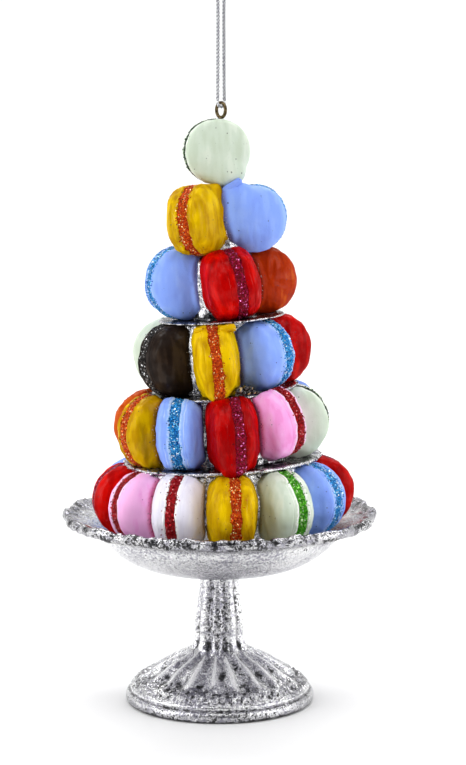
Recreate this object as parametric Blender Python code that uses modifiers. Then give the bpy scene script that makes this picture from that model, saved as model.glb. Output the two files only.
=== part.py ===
"""Macaron tower on its footed stand, made as a hanging ornament.

Five rings of macarons stand on edge round a silver core, with one more on top, a wire eye and a
cord loop. The foot stands on Z = 0, with its middle at the origin. +Y points to the back.
An azimuth is counted in degrees from the front (-Y) towards +X.
"""

import math
import random
from typing import NamedTuple

import bmesh
import bpy
from mathutils import Matrix, Vector

MM = 0.001
GAP = 0.3 * MM                  # clearance between pieces that touch
MERGE = 0.00001                 # turned profiles close on their axis within this distance


# ---------------------------------------------------------------- driving dimensions

STAND_SEGMENTS = 54             # sides of the stand, three to a scallop
STEM_FLUTES = 9
FOOT_RIBS = 18
RIM_SCALLOPS = 18
FLOOR_HEIGHT = 40.4 * MM        # inside of the bowl

# radius and height, in millimetres, from the underside up to the bowl
FOOT_PROFILE = (
    (0.0, 0.0), (21.5, 0.0), (22.3, 0.8), (22.2, 2.3), (21.1, 3.2), (20.7, 4.3), (19.4, 5.6),
    (16.1, 7.5), (11.9, 10.1), (7.7, 12.1), (6.4, 13.4), (5.75, 15.6), (5.85, 19.0),
    (4.6, 28.7), (5.0, 30.6),
)
BOWL_UNDERSIDE = 31.4           # lowest height of the bowl
BOWL_BODY_RADIUS = 29.4
BOWL_BODY_RISE = 9.8
BOWL_BODY_RADII = (12.0, 20.0, 25.5, 29.4)
RIM_PROFILE = (
    (33.4, 42.3), (36.6, 43.3), (37.3, 44.2), (36.7, 45.0), (34.6, 44.0), (30.0, 42.2),
    (25.2, 40.4), (0.0, 40.4),
)
FLUTE_DEPTH = 0.42 * MM
RIB_HEIGHT = 0.75 * MM
SCALLOP_DEPTH = 0.75 * MM
SCALLOP_LIFT = 0.45 * MM

MACARON_SEGMENTS = 16
SHELL_RINGS = (0.0, 0.6, 0.9, 1.0)      # of the radius, from the crown to the edge
SHELL_EDGE = 1.9 * MM           # half thickness at the edge, shells and filling together

TIER_SEGMENTS = 36              # sides of the silver core and its plates
PLATE_WAVES = 7
PLATE_WAVE_DEPTH = 0.3 * MM
PLATE_LIP = 2.0 * MM            # width of a plate's rim
CORE_TOP = 122.0 * MM
CORE_SHOULDER = 105.7 * MM      # the core is thinner above it

EYE_RADIUS = 1.47 * MM          # of the wire's middle line
EYE_WIRE_RADIUS = 0.37 * MM
EYE_X = 0.4 * MM
EYE_TOP = 141.0 * MM
EYE_TURN = 46.0                 # the ring's plane, from facing the front

CORD_DIAMETER = 0.9 * MM
BIGHT_DIAMETER = 0.75 * MM      # the cord is drawn thin where it passes through the eye
BIGHT_STEPS = 8
# offset across the eye and height, in millimetres: up one strand, round the loop, down the other
CORD_ROUTE = (
    (-1.08, 140.95), (-1.00, 144.5), (-0.98, 148.5), (-0.95, 152.5), (-0.94, 156.5),
    (-0.93, 160.5), (-1.00, 164.0), (-1.35, 167.0), (-1.85, 169.7), (-2.10, 172.0),
    (-1.50, 174.1), (0.0, 175.0), (1.55, 174.2), (2.10, 172.1), (1.90, 169.6),
    (1.40, 167.0), (1.02, 164.0), (0.93, 160.5), (0.94, 156.5), (0.96, 152.5),
    (0.98, 148.5), (1.00, 144.5), (1.08, 140.95),
)


class Tier(NamedTuple):
    """A ring of macarons; lengths in millimetres, angles in degrees."""
    ring: float                 # radius of the ring, to the macarons' middles
    height: float               # of their middles
    radius: float
    thickness: float
    azimuths: tuple
    tilt: float                 # of the whole ring, +X side up
    shift: float                # of the ring's axis towards +X
    core: float                 # radius of the silver core inside it
    flavours: tuple


class Settled(NamedTuple):
    """How one macaron sits away from its even place in the ring."""
    turn: float = 0.0           # along the ring, degrees
    twist: float = 0.0          # about the vertical, degrees
    lean: float = 0.0           # its head sideways along the ring, degrees
    out: float = 0.0            # millimetres away from the core
    sink: float = 0.0           # millimetres down
    size: float = 1.0           # times the radius
    plump: float = 1.0          # times the thickness


class Plate(NamedTuple):
    """A silver plate under a tier; lengths in millimetres, tilt in degrees."""
    radius: float
    under: float
    top: float
    rim_rise: float
    tilt: float
    shift: float


def spread(first, count):
    """Azimuths of a ring of macarons, evenly spaced."""
    return tuple(first + 360.0 * i / count for i in range(count))


TIERS = (
    Tier(22.2, 49.1, 8.53, 11.2, spread(7.0, 12), 1.5, 0.9, 13.0,
         ("lemon", "mint", "sky", "cherry", "tangerine", "vanilla",
          "chocolate", "rose", "sky", "cherry", "rose", "vanilla")),
    Tier(16.35, 66.4, 8.53, 10.75, spread(10.0, 10), 4.5, 0.7, 7.5,
         ("cherry", "rose", "mint", "sky", "lemon",
          "cherry", "vanilla", "tangerine", "lemon", "sky")),
    Tier(12.3, 82.5, 8.64, 11.7, spread(-3.0, 6), 3.8, 0.6, 3.6,
         ("lemon", "sky", "cherry", "rose", "mint", "chocolate")),
    Tier(8.9, 99.35, 8.3, 12.6, spread(17.5, 4), 1.5, 0.5, 3.0,
         ("cherry", "tangerine", "mint", "sky")),
    Tier(6.9, 114.3, 8.2, 12.6, (-50.0, 85.0, 203.0), 0.0, 0.5, 1.2,
         ("lemon", "sky", "cherry")),
)
TOP = Tier(0.0, 129.5, 7.55, 10.5, (102.0,), 0.0, -0.8, 1.2, ("mint",))

SETTLED = {                     # by tier and place
    (1, 1): Settled(turn=-1.9, lean=1.3, plump=0.97),
    (1, 2): Settled(turn=-0.3, twist=-4.5, lean=-1.8, size=1.01),
    (1, 3): Settled(turn=-1.5, twist=-5.0, lean=1.2, out=-0.3, sink=-0.2),
    (1, 4): Settled(turn=0.4),
    (1, 10): Settled(turn=0.2),
    (1, 11): Settled(turn=0.4, twist=-2.4, lean=-2.4, sink=0.1, size=0.99),
    (1, 12): Settled(turn=-2.5, twist=11.2, lean=2.0, out=0.1, sink=-0.1, size=1.01),
    (2, 1): Settled(turn=-2.5, twist=-1.5, lean=-0.6, out=0.1, sink=0.4, plump=1.05),
    (2, 2): Settled(turn=1.8, twist=-12.2, lean=-7.9, out=0.4, size=0.99, plump=0.98),
    (2, 3): Settled(turn=-1.8, twist=-1.2, lean=-3.0, out=-0.2, sink=0.5),
    (2, 8): Settled(turn=0.3, out=0.5, sink=-0.2, size=1.015),
    (2, 9): Settled(turn=-1.0, twist=10.0, lean=0.6, out=0.9, size=1.04),
    (2, 10): Settled(turn=-6.2, twist=19.9, lean=1.4, out=0.6, sink=-0.1, plump=0.94),
    (3, 1): Settled(turn=-2.9, twist=9.8, lean=-3.2, plump=0.88),
    (3, 2): Settled(turn=-4.9, twist=-4.4, lean=-1.6, out=-0.9, size=0.95, plump=0.98),
    (3, 3): Settled(turn=-4.1, twist=-1.9, out=0.8),
    (3, 5): Settled(turn=5.9, twist=4.2, out=1.1, size=1.02),
    (3, 6): Settled(turn=2.5, twist=8.7, lean=-1.3, out=-0.2, plump=0.99),
    (4, 1): Settled(turn=-3.7, twist=1.0, lean=-9.2, out=-0.2, sink=-0.1),
    (4, 2): Settled(turn=-0.5, twist=1.0, lean=2.6, out=0.5, size=0.965),
    (4, 4): Settled(twist=4.2, lean=-2.1, out=0.4, sink=-0.3, size=1.03),
    (5, 1): Settled(turn=2.8, twist=22.9, lean=-7.3, out=0.5, sink=0.5, size=1.015, plump=0.92),
    (5, 2): Settled(turn=1.1, twist=2.5, lean=-2.3, out=0.4, sink=0.1, size=0.95),
    (6, 1): Settled(),
}
LOOSE_ANGLE = 3.0               # the others twist and lean at random, up to this

PLATES = (
    Plate(23.1, 57.4, 58.35, 0.0, 2.5, 0.7),
    Plate(17.7, 73.6, 74.2, 0.3, 4.8, 0.6),
    Plate(14.7, 90.8, 91.4, 0.0, 3.8, 0.5),
)

COLOURS = {                     # base colour, roughness, metallic
    "lemon": ((0.72, 0.47, 0.01), 0.45, 0.0),
    "mint": ((0.64, 0.76, 0.60), 0.45, 0.0),
    "sky": ((0.26, 0.38, 0.86), 0.45, 0.0),
    "cherry": ((0.60, 0.01, 0.01), 0.40, 0.0),
    "tangerine": ((0.55, 0.10, 0.01), 0.45, 0.0),
    "vanilla": ((0.80, 0.80, 0.84), 0.45, 0.0),
    "chocolate": ((0.035, 0.022, 0.016), 0.45, 0.0),
    "rose": ((0.84, 0.34, 0.66), 0.45, 0.0),
    "silver": ((0.72, 0.72, 0.74), 0.30, 1.0),
    "bronze": ((0.20, 0.14, 0.07), 0.40, 1.0),
    "silver_thread": ((0.78, 0.78, 0.80), 0.35, 1.0),
}


# ---------------------------------------------------------------- helpers

def clear_scene():
    for thing in list(bpy.data.objects):
        bpy.data.objects.remove(thing, do_unlink=True)


def new_collection(name):
    collection = bpy.data.collections.new(name)
    bpy.context.scene.collection.children.link(collection)
    return collection


def make_material(name):
    colour, roughness, metallic = COLOURS[name]
    material = bpy.data.materials.new(name)
    material.use_nodes = True
    shader = material.node_tree.nodes["Principled BSDF"]
    shader.inputs["Base Color"].default_value = (*colour, 1.0)
    shader.inputs["Roughness"].default_value = roughness
    shader.inputs["Metallic"].default_value = metallic
    return material


def add_object(name, data, collection, material=None):
    thing = bpy.data.objects.new(name, data)
    collection.objects.link(thing)
    if material:
        data.materials.append(material)
    return thing


def smooth(mesh, angle=40.0):
    mesh.shade_smooth()
    mesh.set_sharp_from_angle(angle=math.radians(angle))


def outward(azimuth):
    a = math.radians(azimuth)
    return Vector((math.sin(a), -math.cos(a), 0.0))


def turned(name, profile, steps, collection, material=None):
    """Turn a profile of (radius, height) about Z; it runs down the outer side."""
    mesh = bpy.data.meshes.new(name)
    points = [(r, 0.0, z) for r, z in profile]
    edges = [(i, i + 1) for i in range(len(points) - 1)]
    mesh.from_pydata(points, edges, [])
    thing = add_object(name, mesh, collection, material)
    screw = thing.modifiers.new("turn", "SCREW")
    screw.axis = "Z"
    screw.steps = steps
    screw.render_steps = steps
    screw.use_merge_vertices = True
    screw.merge_threshold = MERGE
    screw.use_smooth_shade = True
    return thing


def made_mesh(thing, reshape):
    """Replace an object's modifiers by their result, with each vertex moved by a function."""
    bpy.context.view_layer.update()
    evaluated = thing.evaluated_get(bpy.context.evaluated_depsgraph_get())
    mesh = bpy.data.meshes.new_from_object(evaluated)
    thing.modifiers.clear()
    thing.data = mesh
    for vertex in mesh.vertices:
        vertex.co = reshape(vertex.co)
    smooth(mesh)


def move_to(thing, collection):
    for home in list(thing.users_collection):
        home.objects.unlink(thing)
    collection.objects.link(thing)


def cutter(thing):
    thing.hide_render = True
    thing.display_type = "WIRE"
    return thing


def cut(thing, tool, operation="DIFFERENCE"):
    modifier = thing.modifiers.new("cut_by_" + tool.name, "BOOLEAN")
    modifier.operation = operation
    modifier.solver = "EXACT"
    modifier.object = tool


# ---------------------------------------------------------------- stand

def wave(angle, count):
    """1 at the crests and 0 in the troughs of a number of waves round the circle."""
    return 0.5 + 0.5 * math.cos(count * angle)


def ramp(value, low, high):
    return min(1.0, max(0.0, (value - low) / (high - low)))


def stand_shape(point):
    """Flutes on the stem, ribs on the foot and scallops round the rim."""
    x, y, z = point
    radius = math.hypot(x, y)
    if radius < MERGE:
        return point
    angle = math.atan2(x, -y)
    flute = 1.0 - wave(angle, STEM_FLUTES)
    rib = 1.0 - wave(angle, FOOT_RIBS)
    scallop = 1.0 - wave(angle + math.pi / RIM_SCALLOPS, RIM_SCALLOPS)
    on_stem = ramp(z, 11 * MM, 15 * MM) * (1.0 - ramp(z, 28 * MM, 30 * MM))
    on_foot = ramp(z, 5 * MM, 7 * MM) * (1.0 - ramp(z, 10.5 * MM, 14 * MM))
    on_rim = ramp(radius, 29 * MM, 36 * MM)
    scale = 1.0 - (FLUTE_DEPTH * on_stem * flute + SCALLOP_DEPTH * on_rim * scallop) / radius
    drop = RIB_HEIGHT * on_foot * rib + SCALLOP_LIFT * on_rim * scallop
    return Vector((x * scale, y * scale, z - drop))


def make_stand(collection, material):
    bowl = tuple(
        (r, BOWL_UNDERSIDE + BOWL_BODY_RISE * (r / BOWL_BODY_RADIUS) ** 4)
        for r in BOWL_BODY_RADII)
    profile = FOOT_PROFILE + bowl + RIM_PROFILE
    downwards = [(r * MM, z * MM) for r, z in reversed(profile)]
    stand = turned("stand", downwards, STAND_SEGMENTS, collection, material)
    made_mesh(stand, stand_shape)


# ---------------------------------------------------------------- silver core and plates

def plate_level(plate, height, x):
    """Height of a plate's face at x, from its height in the middle."""
    return height * MM + (x - plate.shift * MM) * math.tan(math.radians(plate.tilt))


def make_core_piece(name, profile, plate, levels, tilts, collection, material):
    """A turned piece whose tilt changes from its plate, at the lower level, to its head."""
    outer = profile[-2][0]
    has_rim = outer > profile[1][0]

    def tilted(point):
        radius = math.hypot(point.x, point.y)
        angle = math.atan2(point.x, -point.y)
        scale = 1.0
        if has_rim and radius > MERGE:
            rim = ramp(radius, outer - PLATE_LIP, outer)
            scale -= PLATE_WAVE_DEPTH * rim * (1.0 - wave(angle + plate.tilt, PLATE_WAVES)) / radius
        share = ramp(point.z, *levels)
        tilt = tilts[0] + (tilts[1] - tilts[0]) * share
        lift = point.x * math.tan(math.radians(tilt))
        return Vector((point.x * scale + plate.shift * MM, point.y * scale, point.z + lift))

    piece = turned(name, profile, TIER_SEGMENTS, collection, material)
    made_mesh(piece, tilted)


def make_core(collection, material):
    first = PLATES[0]
    radius = TIERS[0].core * MM
    bottom = FLOOR_HEIGHT + GAP
    top = first.under * MM - GAP
    column = [(0.0, top), (radius, top), (radius, bottom), (0.0, bottom)]
    make_core_piece("tower_core", column, first, (bottom, top), (0.0, first.tilt),
                    collection, material)
    for number, plate in enumerate(PLATES, start=1):
        radius = TIERS[number].core * MM
        deck = plate.top * MM
        under = plate.under * MM
        rise = plate.rim_rise * MM
        outer = plate.radius * MM
        if number < len(PLATES):
            top = PLATES[number].under * MM - GAP
            head_tilt = PLATES[number].tilt
            column = [(0.0, top), (radius, top)]
        else:
            top = CORE_TOP
            head_tilt = 0.0
            neck = TIERS[-1].core * MM
            column = [(0.0, top), (neck, top), (neck, CORE_SHOULDER), (radius, CORE_SHOULDER)]
        disc = [(radius, deck), (outer - PLATE_LIP, deck), (outer, deck + rise),
                (outer, under + rise), (outer - PLATE_LIP, under), (0.0, under)]
        make_core_piece("tier_plate_%d" % (number + 1), column + disc, plate,
                        (deck + rise, top), (plate.tilt, head_tilt), collection, material)


# ---------------------------------------------------------------- macarons

def macaron_profile(radius, thickness, grow=0.0):
    """Both domed shells with their straight edge, as (radius, height) down the outer side."""
    crown = thickness / 2 - SHELL_EDGE
    upper = [((radius + grow) * s, grow + SHELL_EDGE + crown * math.sqrt(1.0 - s * s))
             for s in SHELL_RINGS]
    lower = [(r, -z) for r, z in reversed(upper)]
    return upper + lower


def ring_borders(azimuths, place):
    """Azimuths halfway to the macaron before and the one after."""
    count = len(azimuths)
    own = azimuths[place]
    before = azimuths[place - 1] - (360.0 if place == 0 else 0.0)
    after = azimuths[(place + 1) % count] + (360.0 if place == count - 1 else 0.0)
    return (before + own) / 2, (own + after) / 2


def make_room(tag, tier, azimuths, place, floor, roof, collection):
    """The room that one macaron has: its sector of the ring, outside the core."""
    inner = tier.core * MM + GAP
    reach = 90 * MM
    middle = outward(azimuths[place])
    corners = {}
    for side, border in zip((-1, 1), ring_borders(azimuths, place)):
        along = outward(border)
        start = Vector((along.y, -along.x, 0.0)) * side * (GAP / 2)
        near = (inner - start.dot(middle)) / along.dot(middle)
        corners[side, -1] = start + along * near
        corners[side, 1] = start + along * reach
    body = bmesh.new()
    bmesh.ops.create_cube(body, size=2.0)
    for vertex in body.verts:
        side, depth, level = (1 if c > 0 else -1 for c in vertex.co)
        spot = corners[side, depth] + Vector((tier.shift * MM, 0.0, 0.0))
        spot.z = roof if level > 0 else floor(spot.x)
        vertex.co = spot
    if body.calc_volume(signed=True) < 0.0:
        bmesh.ops.reverse_faces(body, faces=body.faces)
    mesh = bpy.data.meshes.new("room_" + tag)
    body.to_mesh(mesh)
    body.free()
    return cutter(add_object(mesh.name, mesh, collection))


def place_macaron(thing, tier, azimuth, settled, holder):
    """Stand a turned macaron on edge in its ring, with its filling facing outwards."""
    thing.parent = holder
    spot = outward(azimuth) * (tier.ring + settled.out) * MM
    spot.z = -settled.sink * MM
    spin = Matrix.Rotation(math.radians(azimuth + settled.twist), 4, "Z")
    lean = Matrix.Rotation(math.radians(settled.lean), 4, "Y")
    on_edge = Matrix.Rotation(math.radians(90.0), 4, "Y")
    thing.matrix_local = Matrix.Translation(spot) @ spin @ lean @ on_edge


def make_holder(number, tier, collection):
    """An empty in the middle of a ring; its tilt lifts the +X side."""
    holder = bpy.data.objects.new("tier_%d_middle" % number, None)
    collection.objects.link(holder)
    holder.location = (tier.shift * MM, 0.0, tier.height * MM)
    holder.rotation_euler = (0.0, -math.radians(tier.tilt), 0.0)
    return holder


def make_drum(number, plate, collection):
    """The plate and all above it, kept clear by the tier below."""
    radius = plate.radius * MM + GAP
    low = plate.under * MM - GAP
    high = low + 12 * MM
    profile = [(0.0, high), (radius, high), (radius, low), (0.0, low)]
    tool = turned("drum_%d" % number, profile, TIER_SEGMENTS, collection)
    slope = math.tan(math.radians(plate.tilt))
    made_mesh(tool, lambda p: Vector((p.x + plate.shift * MM, p.y, p.z + p.x * slope)))
    return cutter(tool)


def make_ring(number, tier, floor, draw, parts, cutters, materials):
    """One ring of macarons, as pairs of a macaron and its shape grown by the clearance."""
    holder = make_holder(number, tier, parts)
    roof = (tier.height + 15) * MM
    settled = []
    for place in range(len(tier.flavours)):
        loose = Settled(twist=draw.uniform(-LOOSE_ANGLE, LOOSE_ANGLE),
                        lean=draw.uniform(-LOOSE_ANGLE, LOOSE_ANGLE),
                        size=draw.uniform(0.985, 1.0), plump=draw.uniform(0.97, 1.02))
        settled.append(SETTLED.get((number, place + 1), loose))
    azimuths = [a + s.turn for a, s in zip(tier.azimuths, settled)]
    ring = []
    for place, flavour in enumerate(tier.flavours):
        own = settled[place]
        tag = "%d_%02d" % (number, place + 1)
        size = (tier.radius * own.size * MM, tier.thickness * own.plump * MM)
        piece = turned("macaron_%s_%s" % (tag, flavour), macaron_profile(*size),
                       MACARON_SEGMENTS, parts, materials[flavour])
        clearance = cutter(turned("clearance_" + tag, macaron_profile(*size, GAP),
                                  MACARON_SEGMENTS, cutters))
        for thing in (piece, clearance):
            place_macaron(thing, tier, azimuths[place], own, holder)
        if len(tier.flavours) > 1:
            cut(piece, make_room(tag, tier, azimuths, place, floor, roof, cutters), "INTERSECT")
        ring.append((piece, clearance))
    return ring


def make_seat(collection):
    """The top of the core and all below it, kept clear by the macaron on top."""
    size = 10 * MM
    bpy.ops.mesh.primitive_cube_add(size=size, location=(0, 0, CORE_TOP + GAP - size / 2))
    seat = bpy.context.object
    seat.name = "seat"
    move_to(seat, collection)
    return cutter(seat)


def make_tower(parts, cutters, materials):
    draw = random.Random(5)
    floors = [lambda x: FLOOR_HEIGHT + GAP]
    floors += [lambda x, p=plate: plate_level(p, p.top, x) + GAP for plate in PLATES]
    floors += [lambda x: TIERS[3].height * MM] * 2
    rings = [make_ring(number, tier, floors[number - 1], draw, parts, cutters, materials)
             for number, tier in enumerate(TIERS + (TOP,), start=1)]
    for number, plate in enumerate(PLATES, start=1):
        drum = make_drum(number, plate, cutters)
        for piece, _ in rings[number - 1]:
            cut(piece, drum)
    for lower, upper in ((rings[3], rings[4]), (rings[4], rings[5])):
        for piece, _ in upper:
            for _, clearance in lower:
                cut(piece, clearance)
    cut(rings[5][0][0], make_seat(cutters))


# ---------------------------------------------------------------- eye and cord

def across_eye(offset, height):
    """A point over the eye, at an offset along the direction that its ring faces."""
    turn = math.radians(EYE_TURN)
    return Vector((EYE_X + offset * math.sin(turn), offset * math.cos(turn), height))


def make_eye(collection, material):
    middle = EYE_TOP - EYE_RADIUS - EYE_WIRE_RADIUS
    bpy.ops.mesh.primitive_torus_add(
        major_segments=20, minor_segments=6, major_radius=EYE_RADIUS,
        minor_radius=EYE_WIRE_RADIUS, location=(EYE_X, 0.0, middle),
        rotation=(math.radians(90.0), 0.0, math.radians(-EYE_TURN)))
    eye = bpy.context.object
    eye.name = "wire_eye"
    move_to(eye, collection)
    eye.data.materials.append(material)
    eye.data.shade_smooth()


def smooth_line(route, per_span):
    """Points along a smooth curve through a route."""
    ends = [route[0] * 2 - route[1]] + route + [route[-1] * 2 - route[-2]]
    line = []
    for i in range(1, len(ends) - 2):
        a, b, c, d = ends[i - 1:i + 3]
        for step in range(per_span):
            t = step / per_span
            line.append(0.5 * (2 * b + (c - a) * t + (2 * a - 5 * b + 4 * c - d) * t * t
                               + (3 * b - a - 3 * c + d) * t * t * t))
    return line + [route[-1]]


def make_tube(name, line, diameter, collection, material):
    curve = bpy.data.curves.new(name, "CURVE")
    curve.dimensions = "3D"
    curve.bevel_depth = diameter / 2
    curve.bevel_resolution = 2
    curve.use_fill_caps = True
    spline = curve.splines.new("POLY")
    spline.points.add(len(line) - 1)
    for point, spot in zip(spline.points, line):
        point.co = (*spot, 1.0)
    add_object(name, curve, collection, material)


def make_cord(collection, material):
    """The hanging loop, and the short bight that passes through the eye."""
    route = [across_eye(offset * MM, height * MM) for offset, height in CORD_ROUTE]
    make_tube("hanging_cord", smooth_line(route, 2), CORD_DIAMETER, collection, material)
    wire = EYE_TOP - EYE_WIRE_RADIUS
    swing = EYE_WIRE_RADIUS + BIGHT_DIAMETER / 2 + GAP
    angles = [math.pi * i / BIGHT_STEPS for i in range(BIGHT_STEPS + 1)]
    bight = [across_eye(-swing * math.cos(a), wire - swing * math.sin(a)) for a in angles]
    make_tube("cord_bight", bight, BIGHT_DIAMETER, collection, material)


def main():
    clear_scene()
    parts = new_collection("macaron_tower")
    cutters = new_collection("cutters")
    materials = {name: make_material(name) for name in COLOURS}
    make_stand(parts, materials["silver"])
    make_core(parts, materials["silver"])
    make_tower(parts, cutters, materials)
    make_eye(parts, materials["bronze"])
    make_cord(parts, materials["silver_thread"])


main()
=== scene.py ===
"""Looks of the macaron tower ornament: painted shells, glitter fillings, antique silver and cord.

Lengths are in metres; values marked MM are given in millimetres. An azimuth is counted in
degrees from the front (-Y) towards +X. Every piece is made in the frame's own place.
"""

import math
import random
from typing import NamedTuple

import bpy
from mathutils import Matrix, Vector, noise


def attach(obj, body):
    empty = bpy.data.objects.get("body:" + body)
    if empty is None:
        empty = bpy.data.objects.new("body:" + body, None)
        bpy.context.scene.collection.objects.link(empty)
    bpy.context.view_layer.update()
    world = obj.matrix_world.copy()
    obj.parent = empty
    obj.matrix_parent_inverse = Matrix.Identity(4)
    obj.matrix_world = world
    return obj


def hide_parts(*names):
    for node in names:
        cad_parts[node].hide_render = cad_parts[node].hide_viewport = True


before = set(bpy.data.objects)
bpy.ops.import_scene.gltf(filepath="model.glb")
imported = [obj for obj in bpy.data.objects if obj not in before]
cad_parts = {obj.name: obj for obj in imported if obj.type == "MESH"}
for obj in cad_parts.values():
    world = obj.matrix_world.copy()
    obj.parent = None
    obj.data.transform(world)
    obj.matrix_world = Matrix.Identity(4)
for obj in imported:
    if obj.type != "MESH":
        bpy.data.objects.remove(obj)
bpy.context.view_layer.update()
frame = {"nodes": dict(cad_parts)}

MM = 0.001
BODY = "root"


# ---------------- pieces and meshes

def new_piece(name, data, materials=()):
    piece = bpy.data.objects.new(name, data)
    bpy.context.scene.collection.objects.link(piece)
    for material in materials:
        data.materials.append(material)
    return piece


def settle(piece, slot, *nodes):
    """The piece rides with the tower and stands for its solids."""
    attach(piece, BODY)
    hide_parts(*nodes)


def store(mesh, name, values):
    """Keep a number or a vector on every point of a mesh."""
    if isinstance(values[0], Vector):
        flat = [c for v in values for c in v]
        mesh.attributes.new(name, "FLOAT_VECTOR", "POINT").data.foreach_set("vector", flat)
    else:
        mesh.attributes.new(name, "FLOAT", "POINT").data.foreach_set("value", values)


def smooth_mesh(name, points, faces=()):
    mesh = bpy.data.meshes.new(name)
    mesh.from_pydata(points, [], faces)
    mesh.shade_smooth()
    return mesh


def round_mesh(name, points, sides, inside_out=False):
    """A closed mesh from one tip over rings of points to the other tip."""
    last = len(points) - 1
    faces = []
    for step in range(sides):
        after = (step + 1) % sides
        faces.append((0, 1 + step, 1 + after))
        for ring in range(1, last - sides, sides):
            faces.append((ring + step, ring + sides + step, ring + sides + after, ring + after))
        faces.append((last - sides + step, last, last - sides + after))
    if inside_out:
        faces = [face[:1] + face[:0:-1] for face in faces]
    return smooth_mesh(name, points, faces)


def turned_mesh(name, profile, segments, fill=None):
    """Turn a profile of (radius, height), from the axis up to the axis again, about Z.

    A third value is the share by which a ring keeps to fill(azimuth, height) instead.
    """
    points = [(0.0, 0.0, profile[0][1])]
    for radius, height, *share in profile[1:-1]:
        for step in range(segments):
            turn = 2 * math.pi * step / segments
            reach = radius
            if share:
                reach += (fill(math.degrees(turn), height) - radius) * share[0]
            points.append((reach * math.sin(turn), -reach * math.cos(turn), height))
    points.append((0.0, 0.0, profile[-1][1]))
    return round_mesh(name, points, segments, inside_out=True)


def smooth_line(route, spacing=None, steps=4):
    """Points along a smooth curve through a route, a spacing or some steps a span apart."""
    ends = [route[0] * 2 - route[1]] + route + [route[-1] * 2 - route[-2]]
    line = []
    for a, b, c, d in zip(ends, ends[1:], ends[2:], ends[3:]):
        if spacing:
            steps = max(1, math.ceil((c - b).length / spacing))
        for step in range(steps):
            t = step / steps
            line.append(0.5 * (2 * b + (c - a) * t + (2 * a - 5 * b + 4 * c - d) * t * t
                               + (3 * b - a - 3 * c + d) * t * t * t))
    return line + [route[-1]]


def outward(azimuth):
    turn = math.radians(azimuth)
    return Vector((math.sin(turn), -math.cos(turn), 0.0))


def up(height):
    return Vector((0.0, 0.0, height))


def clamped(value):
    return min(1.0, max(0.0, value))


# ---------------- camera

PIXEL = 0.2336 * MM             # one pixel of the photograph, at the tower's axis
PHOTO_HEIGHT = 765
CAMERA_SIDE = 13.5              # pixels to the right of the axis
CAMERA_DISTANCE = 2150.0        # pixels
CAMERA_HEIGHT = 610.3
AIM_HEIGHT = 324.3
SENSOR = 36.0


def make_camera():
    drop = CAMERA_HEIGHT - AIM_HEIGHT
    data = bpy.data.cameras.new("camera")
    data.sensor_width = SENSOR
    data.lens = SENSOR * math.hypot(CAMERA_DISTANCE, drop) / PHOTO_HEIGHT
    data.clip_start = 0.01
    data.dof.use_dof = False
    camera = new_piece("camera", data)
    camera.location = (CAMERA_SIDE * PIXEL, -CAMERA_DISTANCE * PIXEL, CAMERA_HEIGHT * PIXEL)
    camera.rotation_euler = (math.pi / 2 - math.atan2(drop, CAMERA_DISTANCE), 0.0, 0.0)
    bpy.context.scene.camera = camera


make_camera()


# ---------------- node wiring

def both_ways(operation):
    """The two methods of an operator: with the field first, and with it second."""
    return (lambda field, other: field.wiring.math(operation, field, other),
            lambda field, other: field.wiring.math(operation, other, field))


class Field:
    """One output of a node; arithmetic on it adds math nodes."""
    __add__, __radd__ = both_ways("ADD")
    __sub__, __rsub__ = both_ways("SUBTRACT")
    __mul__, __rmul__ = both_ways("MULTIPLY")
    __truediv__, __rtruediv__ = both_ways("DIVIDE")
    __pow__, __rpow__ = both_ways("POWER")

    def __init__(self, wiring, socket):
        self.wiring = wiring
        self.socket = socket

    def __abs__(self):
        return self.wiring.math("ABSOLUTE", self)


def open_socket(sockets, key):
    """The socket with a name, or a place among those in use."""
    in_use = [s for s in sockets if s.enabled]
    if isinstance(key, int):
        return in_use[key]
    return next(s for s in in_use if s.name == key)


def paint(colour):
    """A screen colour of 0 to 255 as the linear colour that nodes use."""
    shares = [c / 255 for c in colour]
    linear = [c / 12.92 if c <= 0.04045 else ((c + 0.055) / 1.055) ** 2.4 for c in shares]
    return (*linear, 1.0)


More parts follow.
